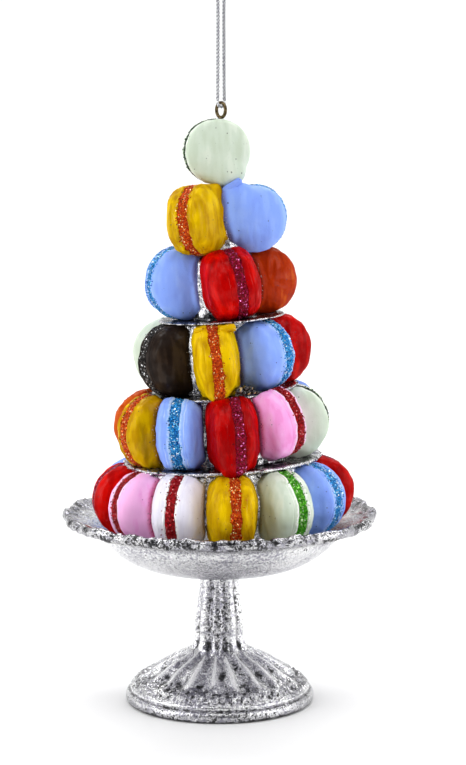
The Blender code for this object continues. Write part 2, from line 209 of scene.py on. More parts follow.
class Wiring:
    """Adds nodes to a tree. An input may be a field or a plain value."""

    def __init__(self, tree):
        self.tree = tree

    def put(self, socket, value):
        if isinstance(value, Field):
            self.tree.links.new(value.socket, socket)
        else:
            socket.default_value = value

    def node(self, kind, inputs=(), **settings):
        made = self.tree.nodes.new(kind)
        for key, value in settings.items():
            setattr(made, key, value)
        pairs = inputs.items() if isinstance(inputs, dict) else enumerate(inputs)
        for key, value in pairs:
            self.put(open_socket(made.inputs, key), value)
        return made

    def out(self, made, key=0):
        return Field(self, open_socket(made.outputs, key))

    def add(self, kind, inputs=(), out=0, **settings):
        return self.out(self.node(kind, inputs, **settings), out)

    # numbers and vectors

    def math(self, operation, *values):
        return self.add("ShaderNodeMath", values, operation=operation)

    def most(self, value, *others):
        for other in others:
            value = self.math("MAXIMUM", value, other)
        return value

    def vector_math(self, operation, inputs):
        return self.add("ShaderNodeVectorMath", inputs, operation=operation)

    def scaled(self, vector, factor):
        return self.vector_math("SCALE", {0: vector, "Scale": factor})

    def parts(self, vector):
        made = self.node("ShaderNodeSeparateXYZ", [vector])
        return [self.out(made, i) for i in range(3)]

    def vector(self, x, y, z):
        return self.add("ShaderNodeCombineXYZ", [x, y, z])

    def from_axis(self, x, y):
        return self.math("SQRT", x * x + y * y)

    def ramp(self, value, low, high, start=0.0, end=1.0):
        return self.add("ShaderNodeMapRange", [value, low, high, start, end],
                        interpolation_type="SMOOTHSTEP")

    def ramp_mm(self, value, low, high, start=0.0, end=1.0):
        return self.ramp(value, low * MM, high * MM, start, end)

    def hump(self, value, middle, width):
        """1 at the middle, falling to 0 at a width away on both sides."""
        return self.ramp(abs(value - middle), 0.0, width, 1.0, 0.0)

    def noise(self, place, scale, detail=2.0, roughness=0.5):
        return self.add("ShaderNodeTexNoise", {"Vector": place, "Scale": scale, "Detail": detail,
                                               "Roughness": roughness}, noise_dimensions="3D")

    # colours and surfaces

    def place(self):
        return self.add("ShaderNodeTexCoord", out="Object")

    def read(self, name, out="Fac"):
        """What a mesh keeps on its points under a name."""
        return self.add("ShaderNodeAttribute", out=out, attribute_name=name)

    def cells(self, place, scale):
        """Distance to the middle of the nearest cell, and the cell's own random share."""
        made = self.node("ShaderNodeTexVoronoi", {"Vector": place, "Scale": scale})
        return self.out(made, "Distance"), self.parts(self.out(made, "Color"))[0]

    def colours(self, value, *stops):
        """A colour ramp through stops of (place, screen colour)."""
        made = self.node("ShaderNodeValToRGB", [value])
        elements = made.color_ramp.elements
        elements[0].position, elements[1].position = 0.0, 1.0
        while len(elements) < len(stops):
            elements.new(0.5)
        for element, (place, colour) in zip(elements, stops):
            element.position = place
            element.color = paint(colour)
        return self.out(made, "Color")

    def coats(self, tone, *layers):
        """A tone with layers of (share, colour) over it, one after the other."""
        for share, colour in layers:
            first, second = [paint(c) if isinstance(c, tuple) else c for c in (tone, colour)]
            tone = self.add("ShaderNodeMix", {"Factor": share, "A": first, "B": second},
                            data_type="RGBA")
        return tone

    def bump(self, height, distance, strength=1.0):
        return self.add("ShaderNodeBump", {"Strength": strength, "Distance": distance,
                                           "Height": height}, out="Normal")

    def surface(self, **values):
        """Set or wire sockets of the material's shader."""
        for key, value in values.items():
            self.put(self.shader.inputs[key.replace("_", " ")], value)
        return self.material

    # geometry

    def position(self):
        return self.add("GeometryNodeInputPosition")

    def normal(self):
        return self.add("GeometryNodeInputNormal")

    def own(self, name):
        return self.add("GeometryNodeInputNamedAttribute", {"Name": name}, data_type="FLOAT")

    def keep(self, shape, name, value, domain="POINT"):
        return self.add("GeometryNodeStoreNamedAttribute", {
            "Geometry": shape, "Name": name, "Value": value}, data_type="FLOAT", domain=domain)

    def moved(self, shape, offset):
        return self.add("GeometryNodeSetPosition", {"Geometry": shape, "Offset": offset})

    def swollen(self, shape, height):
        """Every point moved along its own normal."""
        return self.moved(shape, self.scaled(self.normal(), height))

    def smooth(self, shape):
        return self.add("GeometryNodeSetShadeSmooth", {"Geometry": shape})

    def resampled(self, line, spacing):
        return self.add("GeometryNodeResampleCurve", {"Curve": line, "Length": spacing},
                        mode="LENGTH")

    def tube(self, line, sides, radius):
        ring = self.add("GeometryNodeCurvePrimitiveCircle", {
            "Resolution": sides, "Radius": radius})
        return self.add("GeometryNodeCurveToMesh", {
            "Curve": line, "Profile Curve": ring, "Fill Caps": True})

    def random(self, low, high, seed):
        kind = "FLOAT_VECTOR" if isinstance(low, tuple) else "FLOAT"
        return self.add("FunctionNodeRandomValue", {"Min": low, "Max": high, "Seed": seed},
                        data_type=kind)

    def random_turn(self, low, high, seed):
        return self.add("FunctionNodeEulerToRotation", [self.random(low, high, seed)])

    def instances(self, points, thing, turn, scale):
        return self.add("GeometryNodeInstanceOnPoints", {
            "Points": points, "Instance": thing, "Rotation": turn, "Scale": scale})

    def close(self, shape, material):
        """Realize the instances, give them their material and hand the shape out."""
        whole = self.add("GeometryNodeRealizeInstances", {"Geometry": shape})
        whole = self.add("GeometryNodeSetMaterial", {"Geometry": whole, "Material": material})
        self.node("NodeGroupOutput", [whole])
        return self.tree


def new_material(name, **constants):
    """The wiring of a material; constants are the shader's own plain values."""
    material = bpy.data.materials.new(name)
    material.use_nodes = True
    material.node_tree.nodes.clear()
    w = Wiring(material.node_tree)
    w.material = material
    w.shader = w.node("ShaderNodeBsdfPrincipled")
    w.node("ShaderNodeOutputMaterial", {"Surface": w.out(w.shader)})
    w.surface(**constants)
    return w


def new_tree(name, **inputs):
    """A Geometry Nodes tree with named inputs; one without a value takes a material."""
    tree = bpy.data.node_groups.new(name, "GeometryNodeTree")
    for way in ("INPUT", "OUTPUT"):
        tree.interface.new_socket("Geometry", in_out=way, socket_type="NodeSocketGeometry")
    for label, value in inputs.items():
        kind = {int: "Int", float: "Float"}.get(type(value), "Material")
        socket = tree.interface.new_socket(label.replace("_", " "), in_out="INPUT",
                                           socket_type="NodeSocket" + kind)
        if value is not None:
            socket.default_value = value
    w = Wiring(tree)
    entry = w.node("NodeGroupInput")
    return w, {s.name: Field(w, s) for s in entry.outputs if s.name}


def grow(thing, tree, **values):
    """Run a tree on an object and keep its result as a plain mesh."""
    modifier = thing.modifiers.new(tree.name, "NODES")
    modifier.node_group = tree
    for item in tree.interface.items_tree:
        label = item.name.replace(" ", "_")
        if item.in_out == "INPUT" and label in values:
            modifier[item.identifier] = values[label]
    bpy.context.view_layer.update()
    graph = bpy.context.evaluated_depsgraph_get()
    mesh = bpy.data.meshes.new_from_object(
        thing.evaluated_get(graph), preserve_all_data_layers=True, depsgraph=graph)
    thing.modifiers.clear()
    if thing.type != "MESH":
        name = thing.name
        bpy.data.objects.remove(thing)
        return new_piece(name, mesh)
    thing.data = mesh
    return thing


# ---------------- cord

CORD_DIAMETER = 0.9 * MM
BIGHT_DIAMETER = 0.75 * MM
BIGHT_STEPS = 8
EYE_TOP = 141.0 * MM
EYE_RADIUS = 1.47 * MM
EYE_WIRE_RADIUS = 0.37 * MM
EYE_THICKENED = 0.04 * MM       # by the patina
EYE_TALL = 1.68 * MM            # half height of the ring, which is drawn a little long
EYE_X = 0.4 * MM
EYE_TURN = math.radians(46.0)
EYE_START, EYE_END = -72, 268   # degrees round the ring between which the wire runs
EYE_STEPS = 40
WIRE_SPACING = 0.12 * MM
THREAD_SIDES, CORE_SIDES, WIRE_SIDES = 5, 8, 16
SHANK_LENGTH = 2.6 * MM
SHANK_STEPS = 8
CLEARANCE = 0.3 * MM
# offset across the eye and height, in millimetres: up one strand, round the loop, down the other
CORD_ROUTE = (
    (-1.08, 140.95), (-1.00, 144.5), (-0.98, 148.5), (-0.95, 152.5), (-0.94, 156.5),
    (-0.93, 160.5), (-1.00, 164.0), (-1.35, 167.0), (-1.85, 169.7), (-2.10, 172.0),
    (-1.50, 174.1), (0.0, 175.0), (1.55, 174.2), (2.10, 172.1), (1.90, 169.6),
    (1.40, 167.0), (1.02, 164.0), (0.93, 160.5), (0.94, 156.5), (0.96, 152.5),
    (0.98, 148.5), (1.00, 144.5), (1.08, 140.95),
)
BRAID_THREADS = 3               # each way round
BRAID_PITCH = 2.52 * MM
BRAID_SPACING = 0.13 * MM       # between the rings of a thread's mesh
THREAD_SHARE = 0.30             # of the cord's radius
CORE_SHARE = 0.40
DIP_SHARE = 0.25                # of the thread's radius, each way from the middle


def silver_thread():
    """Metallic thread: bright one way round the braid, grey the other way, with painted shade
    where it dips under the other threads.
    """
    w = new_material("silver_thread", Metallic=0.2)
    place = w.place()
    wear = w.noise(place, 1500.0, 3.0)
    tone = w.colours(wear, (0.30, (168, 168, 176)), (0.48, (232, 232, 236)),
                     (0.66, (253, 253, 254)))
    # painted shade where a thread dips under the others and on the core; the threads of the other
    # way grey
    grey_and_dip_shade = w.ramp(w.read("over"), 0.4, -0.5)
    return w.surface(Base_Color=w.coats(tone, (grey_and_dip_shade * 0.9, (96, 96, 106))),
                     Roughness=w.ramp(wear, 0.3, 0.7, 0.42, 0.22),
                     Normal=w.bump(w.noise(place, 9000.0, 1.0), 0.03 * MM))


def braid_tree():
    """Threads wound both ways round a line, over a core."""
    w, given = new_tree("braided_cord", Diameter=CORD_DIAMETER, Pitch=BRAID_PITCH,
                        Threads_each_way=BRAID_THREADS, Thread=None)
    threads = given["Threads each way"]
    line = w.resampled(given["Geometry"], BRAID_SPACING)
    radius = given["Diameter"] / 2
    thread = radius * THREAD_SHARE
    dip = thread * DIP_SHARE
    strands = []
    for way in (1.0, -1.0):
        copied = w.node("GeometryNodeDuplicateElements", {"Geometry": line, "Amount": threads},
                        domain="SPLINE")
        along = w.add("GeometryNodeSplineParameter", out="Length")
        turn = (along / given["Pitch"] + w.out(copied, "Duplicate Index") / threads) \
            * (2 * math.pi * way)
        weave = w.math("COSINE", turn * (BRAID_THREADS * way) + (math.pi * (way > 0)))
        swing = radius - thread - dip + weave * dip
        normal = w.normal()
        side = w.vector_math("CROSS_PRODUCT", [w.add("GeometryNodeInputTangent"), normal])
        offset = w.vector_math("ADD", [w.scaled(normal, w.math("COSINE", turn) * swing),
                                       w.scaled(side, w.math("SINE", turn) * swing)])
        marked = w.keep(w.out(copied, "Geometry"), "over", weave * 0.4 + 0.6 * way)
        strands.append(w.tube(w.moved(marked, offset), THREAD_SIDES, thread))
    core = w.keep(w.tube(line, CORE_SIDES, radius * CORE_SHARE), "over", -1.0)
    join = w.node("GeometryNodeJoinGeometry")
    for part in (core, *strands):
        w.put(join.inputs[0], part)
    return w.close(w.out(join), given["Thread"])


def across_eye(offset, height):
    """A point over the eye, at an offset along the direction that its ring faces."""
    return Vector((EYE_X + offset * math.sin(EYE_TURN), offset * math.cos(EYE_TURN), height))


def line_object(name, points):
    curve = bpy.data.curves.new(name, "CURVE")
    curve.dimensions = "3D"
    spline = curve.splines.new("POLY")
    spline.points.add(len(points) - 1)
    for point, spot in zip(spline.points, points):
        point.co = (*spot, 1.0)
    return new_piece(name, curve)


def make_cord(material):
    """The hanging loop, with the turn of it that passes through the eye."""
    tree = braid_tree()
    route = smooth_line([across_eye(o * MM, h * MM) for o, h in CORD_ROUTE])
    loop = grow(line_object("braided_cord_loop", route), tree,
                Diameter=CORD_DIAMETER, Thread=material)
    wire = EYE_TOP - EYE_WIRE_RADIUS
    swing = EYE_WIRE_RADIUS + BIGHT_DIAMETER / 2 + CLEARANCE
    turns = [math.pi * i / BIGHT_STEPS for i in range(BIGHT_STEPS + 1)]
    turn_line = [across_eye(-swing * math.cos(a), wire - swing * math.sin(a)) for a in turns]
    bight = grow(line_object("braided_cord_bight", turn_line), tree,
                 Diameter=BIGHT_DIAMETER, Thread=material)
    settle(bight, "silver_thread", "cord_bight")
    settle(loop, "silver_thread", "hanging_cord")
    length = sum((b - a).length for a, b in zip(route, route[1:]))


make_cord(silver_thread())


# ---------------- wire eye

def antique_bronze():
    w = new_material("antique_bronze", Metallic=1.0)
    wear = w.noise(w.place(), 1800.0, 4.0, 0.6)
    tone = w.colours(wear, (0.34, (28, 20, 13)), (0.54, (92, 78, 54)), (0.72, (184, 168, 128)))
    return w.surface(Base_Color=tone, Roughness=w.ramp(wear, 0.3, 0.7, 0.5, 0.25),
                     Normal=w.bump(wear, 0.06 * MM))


def wire_tree():
    """A round wire along a line, with slight dents."""
    w, given = new_tree("dented_wire", Wire_radius=EYE_WIRE_RADIUS, Dent=0.03 * MM, Metal=None)
    wire = w.tube(w.resampled(given["Geometry"], WIRE_SPACING), WIRE_SIDES, given["Wire radius"])
    dent = w.noise(w.position(), 1500.0) - 0.6
    return w.close(w.swollen(wire, dent * given["Dent"]), given["Metal"])


def make_eye(material):
    """The ring, closed against its own shank, which goes down into the top macaron."""
    along = Vector((math.cos(EYE_TURN), -math.sin(EYE_TURN), 0.0))
    middle = Vector((EYE_X, 0.0, EYE_TOP - EYE_TALL - EYE_WIRE_RADIUS - EYE_THICKENED))
    line = []
    for step in range(EYE_STEPS + 1):
        a = math.radians(EYE_START + (EYE_END - EYE_START) * step / EYE_STEPS)
        line.append(middle + along * (EYE_RADIUS * math.cos(a)) + up(EYE_TALL * math.sin(a)))
    line += [line[-1] + up(-SHANK_LENGTH * i / SHANK_STEPS) for i in range(1, SHANK_STEPS + 1)]
    eye = grow(line_object("bronze_wire_eye", line), wire_tree(),
               Wire_radius=EYE_WIRE_RADIUS + EYE_THICKENED, Metal=material)
    settle(eye, "bronze", "wire_eye")


make_eye(antique_bronze())


# ---------------- silver

def antique_silver():
    """Silver paint that lost its shine in the hollows, with black specks, fine scratches, painted
    highlights and painted shade under the bowl.
    """
    w = new_material("antique_silver", Specular_IOR_Level=0.5)
    place = w.place()
    x, y, z = w.parts(place)
    patina_and_highlight, shade = w.read("patina_and_highlight"), w.read("shade")
    specks = w.noise(place, 1500.0, 5.0, 0.68)
    fine = w.noise(place, 3400.0, 3.0, 0.6)
    drift = w.noise(place, 110.0, 3.0)
    dents = w.noise(place, 620.0, 2.0)
    round_axis = w.vector(x * 60.0, y * 60.0, w.from_axis(x, y) * 1900.0 + z * 1500.0)
    turned = w.noise(round_axis, 1.0, 3.0, 0.6)
    wear = patina_and_highlight * 0.16 - shade * 0.05 + (drift - 0.5) * 0.2
    patches = w.ramp(w.noise(place, 640.0, 3.0, 0.65) + patina_and_highlight * 0.22, 0.69, 0.73)
    black = w.most(w.ramp(specks + wear, 0.595, 0.63), patches)
    dust = w.ramp(fine + wear, 0.60, 0.67)
    # painted highlights: white flecks, less metallic than the silver, and the crests of the foot's
    # ribs
    highlight_flecks = w.ramp(w.noise(place, 1050.0, 3.0, 0.65), 0.585, 0.63) * (1.0 - shade)
    painted_highlight = w.most(w.ramp(patina_and_highlight, -0.05, -0.35), highlight_flecks * 0.8)
    # painted shade: the underside of the bowl darker, by the shade value
    tone = w.coats(
        (152, 151, 161), (w.ramp(drift * 0.3 + specks * 0.7, 0.42, 0.54), (248, 248, 248)),
        (shade * 0.7, (140, 138, 151)), (w.ramp(turned, 0.54, 0.68) * 0.6, (104, 102, 115)),
        (patina_and_highlight * 0.5, (122, 120, 132)), (dust * 0.75, (62, 60, 70)),
        (painted_highlight * 0.85, (252, 252, 253)), (black, (15, 14, 18)))
    relief = dents * -1.0 + specks * -0.35 + fine * -0.12 + turned * -0.16
    return w.surface(
        Base_Color=tone, Roughness=w.ramp(fine, 0.3, 0.7, 0.12, 0.30),
        Metallic=w.ramp(w.most(black, dust * 0.4, painted_highlight * 0.6), 0.0, 1.0, 1.0, 0.1),
        Normal=w.bump(relief, 0.30 * MM))


STAND_SEGMENTS = 360
STAND_SPACING = 0.395 * MM
STEM_FLUTES = 9
FLUTE_TURN = 0.115              # radians that the flutes are turned off the front
TARNISHED_SIDES = 3             # sides of the stem with dark patches
FOOT_RIBS = 18
RIM_SCALLOPS = 18
# radius and height, in millimetres: foot, stem, underside of the bowl, rim, inside of the bowl
FOOT_PROFILE = (
    (21.2, 0.0), (22.0, 0.25), (22.3, 0.9), (22.25, 1.8), (21.9, 2.45), (21.25, 2.7),
    (21.3, 3.05), (21.25, 3.6), (20.6, 4.4), (19.3, 5.65), (16.1, 7.5), (11.9, 10.1),
    (7.8, 12.1), (6.45, 13.4), (5.85, 15.6), (5.9, 19.0), (5.2, 24.0), (4.75, 28.7),
    (5.1, 30.7), (6.4, 31.35),
)
BOWL_UNDERSIDE = 31.4
BOWL_BODY_RADIUS = 29.4
BOWL_BODY_RISE = 9.8
BOWL_BODY_STEPS = 14
RIM_PROFILE = (
    (32.6, 42.1), (34.8, 42.9), (36.5, 43.6), (37.05, 44.5), (36.95, 45.5), (36.3, 46.1),
    (35.4, 45.9), (34.2, 45.0), (32.0, 43.6), (30.0, 42.6), (27.0, 41.2), (24.0, 40.4),
    (20.0, 40.35),
)


def stand_tree():
    """Flutes up the stem that fork into ribs on the foot, scallops and lumps round the rim."""
    w, given = new_tree(
        "flutes_ribs_and_scallops", Flutes=float(STEM_FLUTES), Flute_depth=0.62 * MM,
        Ribs=float(FOOT_RIBS), Rib_depth=0.9 * MM, Scallops=float(RIM_SCALLOPS),
        Scallop_depth=0.75 * MM, Lump_height=0.5 * MM, Silver=None)
    position = w.position()
    x, y, z = w.parts(position)
    radius = w.most(w.from_axis(x, y), MM)
    angle = w.math("ARCTAN2", x, y * -1.0)

    def wave(count, shift=0.0):
        return w.math("COSINE", (angle + shift) * count) * 0.5 + 0.5

    def band(low, full, fading, high):
        """1 between two heights, falling to 0 below and above; millimetres."""
        return w.ramp_mm(z, low, full) * w.ramp_mm(z, fading, high, 1.0, 0.0)

    on_stem = band(11, 15, 28.5, 30.5)
    on_foot = band(5.6, 7.4, 11.5, 14.5)
    on_ledge = band(3.4, 4.6, 6.0, 8.0)
    on_rim = w.ramp_mm(radius, 30, 35.5)
    crumple = w.noise(position, 900.0, 3.0, 0.6)

    groove = 1.0 - wave(given["Flutes"], FLUTE_TURN)
    flute = groove ** 1.4 * on_stem
    tarnish = wave(TARNISHED_SIDES, FLUTE_TURN) ** 3.0 * on_stem
    bent = (w.noise(w.vector(x, y, z * 0.3), 90.0) - 0.5) * 0.32 + FLUTE_TURN
    crest = wave(given["Ribs"], bent)
    rib = (1.0 - crest) ** 0.6 * on_foot
    holes = w.ramp(w.noise(position, 260.0, 1.0), 0.48, 0.56)
    pit = w.hump(z, 8.6 * MM, 2.6 * MM) * (1.0 - crest) ** 2.5 * holes
    fork = w.hump(z, 13.6 * MM, 1.6 * MM) * groove ** 5.0
    scallop = (1.0 - wave(given["Scallops"], math.pi / RIM_SCALLOPS)) * on_rim
    rim_lump = w.ramp(w.noise(position, 420.0, 2.0), 0.36, 0.64) * on_rim
    ledge_lump = w.ramp(crumple, 0.42, 0.6) * on_ledge

    inward = flute * given["Flute depth"] + fork * (0.55 * MM) + scallop * given["Scallop depth"]
    scale = 1.0 - inward / radius
    fall = rib * given["Rib depth"] + pit * (0.5 * MM) + scallop * (0.45 * MM) \
        + rim_lump * (given["Lump height"] * w.ramp_mm(z, 42.6, 44.4)) + ledge_lump * (0.45 * MM)
    shaped = w.add("GeometryNodeSetPosition", {
        "Geometry": given["Geometry"], "Position": w.vector(x * scale, y * scale, z - fall)})
    rough = w.ramp_mm(z, 0.2, 1.2) * (
        0.16 * MM + on_foot * (0.12 * MM) + on_stem * (0.14 * MM) + on_rim * (0.12 * MM)
        - w.ramp_mm(z, 31.0, 32.5) * w.ramp_mm(radius, 27, 30, 1.0, 0.0) * (0.11 * MM))
    shaped = w.swollen(shaped, (crumple - 0.72) * rough)
    # patina in the flutes, grooves and pits; on the crests of the foot's ribs it goes below 0, a
    # painted highlight; it is also darker at the foot's lowest band and bottom edge
    patina_and_highlight = w.math("MINIMUM", flute ** 1.5 * 0.45 + tarnish * 0.4 + rib ** 4.0 * 0.1
                    - crest ** 5.0 * on_foot * 0.4 + pit * 1.6 + fork * 1.6
                    + rim_lump * 0.45 + ledge_lump * 0.7 + on_rim * 0.28
                    + w.hump(z, 2.75 * MM, 0.5 * MM) * 0.8 + w.ramp_mm(z, 1.9, 2.5, 0.3, 0.0)
                    + w.ramp_mm(z, 0.1, 0.8, 1.0, 0.0), 1.0)
    # painted shade: the underside of the bowl darker, most towards its middle
    shade = band(30.8, 31.8, 39.9, 40.3) * w.ramp_mm(radius, 16, 29, 1.0, 0.12)
    shaped = w.keep(w.keep(shaped, "patina_and_highlight", patina_and_highlight), "shade", shade)
    return w.close(shaped, given["Silver"])


def make_stand(material):
    neck = FOOT_PROFILE[-1][0]
    bowl = [neck + (BOWL_BODY_RADIUS - neck) * step / BOWL_BODY_STEPS
            for step in range(1, BOWL_BODY_STEPS + 1)]
    bowl = [(r, BOWL_UNDERSIDE + BOWL_BODY_RISE * (r / BOWL_BODY_RADIUS) ** 4) for r in bowl]
    route = [Vector((r * MM, z * MM)) for r, z in (*FOOT_PROFILE, *bowl, *RIM_PROFILE)]
    under = [(0.0, 0.0), (10 * MM, 0.0), (20 * MM, 0.0)]
    inside = [(12 * MM, 40.35 * MM), (0.0, 40.35 * MM)]
    mesh = turned_mesh("silver_stand", under + smooth_line(route, STAND_SPACING) + inside,
                       STAND_SEGMENTS)
    stand = grow(new_piece("silver_stand", mesh), stand_tree(), Silver=material)
    settle(stand, "silver", "stand")


silver = antique_silver()
make_stand(silver)


# ---------------- rings of macarons

class Tier(NamedTuple):
    """A ring of macarons; lengths in millimetres, angles in degrees."""
    ring: float
    height: float
    radius: float
    thickness: float
    azimuths: tuple
    tilt: float
    shift: float
    flavours: tuple


class Settled(NamedTuple):
    """How one macaron sits away from its even place in the ring."""
    turn: float = 0.0
    twist: float = 0.0
    lean: float = 0.0
    out: float = 0.0
    sink: float = 0.0
    size: float = 1.0
    plump: float = 1.0
    band: float = 0.0           # millimetres that the filling is off the middle
    spill: float = 0.0          # millimetres that the glitter goes beyond the filling
    shade: float = 0.0          # of the paint, from deep (-1) to pale (1)


def spread(first, count):
    return tuple(first + 360.0 * i / count for i in range(count))


TIERS = (
    Tier(22.2, 49.1, 8.53, 11.2, spread(7.0, 12), 1.5, 0.9,
         ("lemon", "mint", "sky", "cherry", "tangerine", "vanilla",
          "chocolate", "rose", "sky", "cherry", "rose", "vanilla")),
    Tier(16.35, 66.4, 8.53, 10.75, spread(10.0, 10), 4.5, 0.7,
         ("cherry", "rose", "mint", "sky", "lemon",
          "cherry", "vanilla", "tangerine", "lemon", "sky")),
    Tier(12.3, 82.5, 8.64, 11.7, spread(-3.0, 6), 3.8, 0.6,
         ("lemon", "sky", "cherry", "rose", "mint", "chocolate")),
    Tier(8.9, 99.35, 8.3, 12.6, spread(17.5, 4), 1.5, 0.5,
         ("cherry", "tangerine", "mint", "sky")),
    Tier(6.9, 114.3, 8.2, 12.6, (-50.0, 85.0, 203.0), 0.0, 0.5,
         ("lemon", "sky", "cherry")),
    Tier(0.0, 129.5, 7.55, 10.5, (102.0,), 0.0, -0.8, ("mint",)),
)

# by tier and place: turn, twist, lean, out, sink, size, plump, band, spill, shade
SETTLED = {
    (1, 1): (-1.9, 0, 1.3, 0, 0, 1, 0.97, 0.38),
    (1, 2): (-1, -4.5, -1.8, 0, 0, 1.01, 0.93, 0.72),
    (1, 3): (-3, -5, 1.2, -0.5, -0.2, 1, 1, -0.29, 0.8),
    (1, 4): (0.4,),
    (1, 10): (0.2, 0, 0, 0, 0, 1, 1, 0, 0, 0.4),
    (1, 11): (0.4, -2.4, -2.4, 0, 0.1, 0.99, 1, -0.75, 0, 1),
    (1, 12): (-2.5, 11.2, 2, 0.1, -0.1, 1.01, 1, -0.09),
    (2, 1): (-2.5, -1.5, -0.6, 0.6, 0.5, 1.045, 1.04, 0.96, -0.35, -0.5),
    (2, 2): (-2.2, -8.2, -7.9, 0.3, -0.7, 0.99, 0.98, 1.85),
    (2, 3): (-1.8, 6, -3, 0.2, 0.5, 1, 1, -0.2),
    (2, 8): (0.3, 0, 0, 0.5, -0.2, 1.015, 1, 0, 0, 0.9),
    (2, 9): (-1, 10, 0.6, 0.9, 0, 1.04, 1, -0.76, 0, -0.6),
    (2, 10): (-6.2, 19.9, 1.4, 0.6, -0.1, 1, 0.94, -0.05),
    (3, 1): (-4, 10.9, -3.2, 0, 0, 1, 0.83, -0.05, 0, 0.5),
    (3, 2): (-7, -2.3, -1.6, -1.3, 0, 0.95, 0.98, 1.9, 0.5),
    (3, 3): (-4.1, -1.9, 0, 0.8),
    (3, 5): (5.9, 4.2, 0, 1.1, 0, 1.02),
    (3, 6): (2.5, 8.7, -1.3, -0.2, 0, 1, 0.99, -1.47),
    (4, 1): (-3.7, 1, -9.2, -0.2, -0.1, 1, 1, 0.63, -0.3),
    (4, 2): (-0.5, 1, 2.6, 0.5, 0, 0.965, 1, 0, 0, -0.3),
    (4, 4): (0, 4.2, -2.1, 0.4, -0.3, 1.03, 1, -0.14, 1.1),
    (5, 1): (2.8, 22.9, -7.3, 0.5, 0.5, 1.015, 0.92),
    (5, 2): (1.1, 2.5, -2.3, 0.4, 0.1, 0.95, 1, 0, 0.5, 0.3),
    (5, 3): (0, 0, 0, 0, 1, 0.94),
    (6, 1): (),
}
LOOSE_ANGLE = 3.0               # degrees either way, of the others


class Plate(NamedTuple):
    """A silver plate under a tier; lengths in millimetres, tilt in degrees."""
    radius: float
    under: float
    top: float
    tilt: float
    shift: float
    knobs: int                  # round its edge
    knob_size: float
    beads: bool                 # whether the cluster of dark beads stands on it


PLATES = (
    Plate(23.1, 57.4, 58.35, 2.5, 0.7, 130, 0.44, False),
    Plate(17.7, 73.6, 74.4, 4.8, 0.6, 84, 0.40, True),
    Plate(14.7, 90.8, 91.4, 3.8, 0.5, 0, 0.0, False),
)

SHELL_EDGE = 1.9                # half thickness at the edge, shells and filling together
DOME_POWER = 2.7                # of a shell's curve: 2 is an ellipse, more is fuller


class Macaron(NamedTuple):
    """One macaron in its place; lengths in millimetres."""
    key: tuple                  # number of its tier, place in the tier
    flavour: str
    azimuth: float
    own: Settled
    frame: Matrix
    back: Matrix
    radius: float
    half: float                 # of its thickness


def rotation(degrees, axis):
    return Matrix.Rotation(math.radians(degrees), 4, axis)


def seat_of(tier):
    middle = Matrix.Translation((tier.shift * MM, 0.0, tier.height * MM))
    return middle @ rotation(-tier.tilt, "Y")


def place_of(tier, azimuth, settled):
    """Where a macaron stands: on edge in its ring, with its filling facing outwards."""
    spot = outward(azimuth) * (tier.ring + settled.out) * MM
    spot.z = -settled.sink * MM
    return seat_of(tier) @ Matrix.Translation(spot) @ rotation(azimuth + settled.twist, "Z") \
        @ rotation(settled.lean, "Y") @ rotation(90.0, "Y")


def all_macarons():
    """The macarons of every tier; those without a set place sit a little loosely."""
    draw = random.Random(5)
    tiers = []
    for number, tier in enumerate(TIERS, start=1):
        ring = []
        for place, flavour in enumerate(tier.flavours, start=1):
            key = number, place
            own = Settled(twist=draw.uniform(-LOOSE_ANGLE, LOOSE_ANGLE),
                          lean=draw.uniform(-LOOSE_ANGLE, LOOSE_ANGLE),
                          size=draw.uniform(0.985, 1.0), plump=draw.uniform(0.97, 1.02))
            if key in SETTLED:
                own = Settled(*SETTLED[key])
            azimuth = tier.azimuths[place - 1] + own.turn
            seat = place_of(tier, azimuth, own)
            ring.append(Macaron(key, flavour, azimuth, own, seat, seat.inverted(),
                                tier.radius * own.size, tier.thickness * own.plump / 2))
        tiers.append(ring)
    return tiers


def arch(share):
    """Height of a shell's curve, as a share, at a share of its radius; and the reverse."""
    return max(0.0, 1.0 - share ** DOME_POWER) ** (1.0 / DOME_POWER)


def crown(macaron, share):
    """Height of a shell over the disc's middle plane, at a share of its radius."""
    return SHELL_EDGE + (macaron.half - SHELL_EDGE) * arch(share)


def risen(macaron, z):
    """Share of a shell's own height that lies under a height over the middle plane."""
    return max(0.0, abs(z) - SHELL_EDGE) / (macaron.half - SHELL_EDGE)


def free_space(macaron, spot):
    """Millimetres between a macaron and a spot, measured across its disc."""
    local = macaron.back @ spot
    share = math.hypot(local.x, local.y) / (macaron.radius * MM)
    away = abs(local.z) / MM
    if share >= 1.0:
        return max((share - 1.0) * macaron.radius, away - SHELL_EDGE)
    return away - crown(macaron, share)


# ---------------- gaps between macarons

GAP_HEIGHTS = (-9.0, -7.6, -6.2, -4.6, -2.6, 0.0, 2.6, 4.6, 6.2, 7.6, 9.0)
GAP_LOOKS = 16                  # directions tried between two macarons
GAP_STEP = 0.3
INNERMOST = 0.35                # of the ring's radius
LEAST_DEPTH = 0.93              # of the gap's middle, at its other heights
SEAM_STRIP = 0.08               # half width of the silver seen between two macarons
WIDE_STRIPS = {(1, 1): 0.38, (1, 12): 0.18, (2, 10): 0.3, (3, 6): 0.48, (4, 4): 0.42,
               (5, 1): 0.22}    # and after these


class Gap(NamedTuple):
    """The V between two macarons: radius of the silver in it at each of the heights."""
    azimuth: float
    depths: tuple


def strip_after(macaron):
    return WIDE_STRIPS.get(macaron.key, SEAM_STRIP)


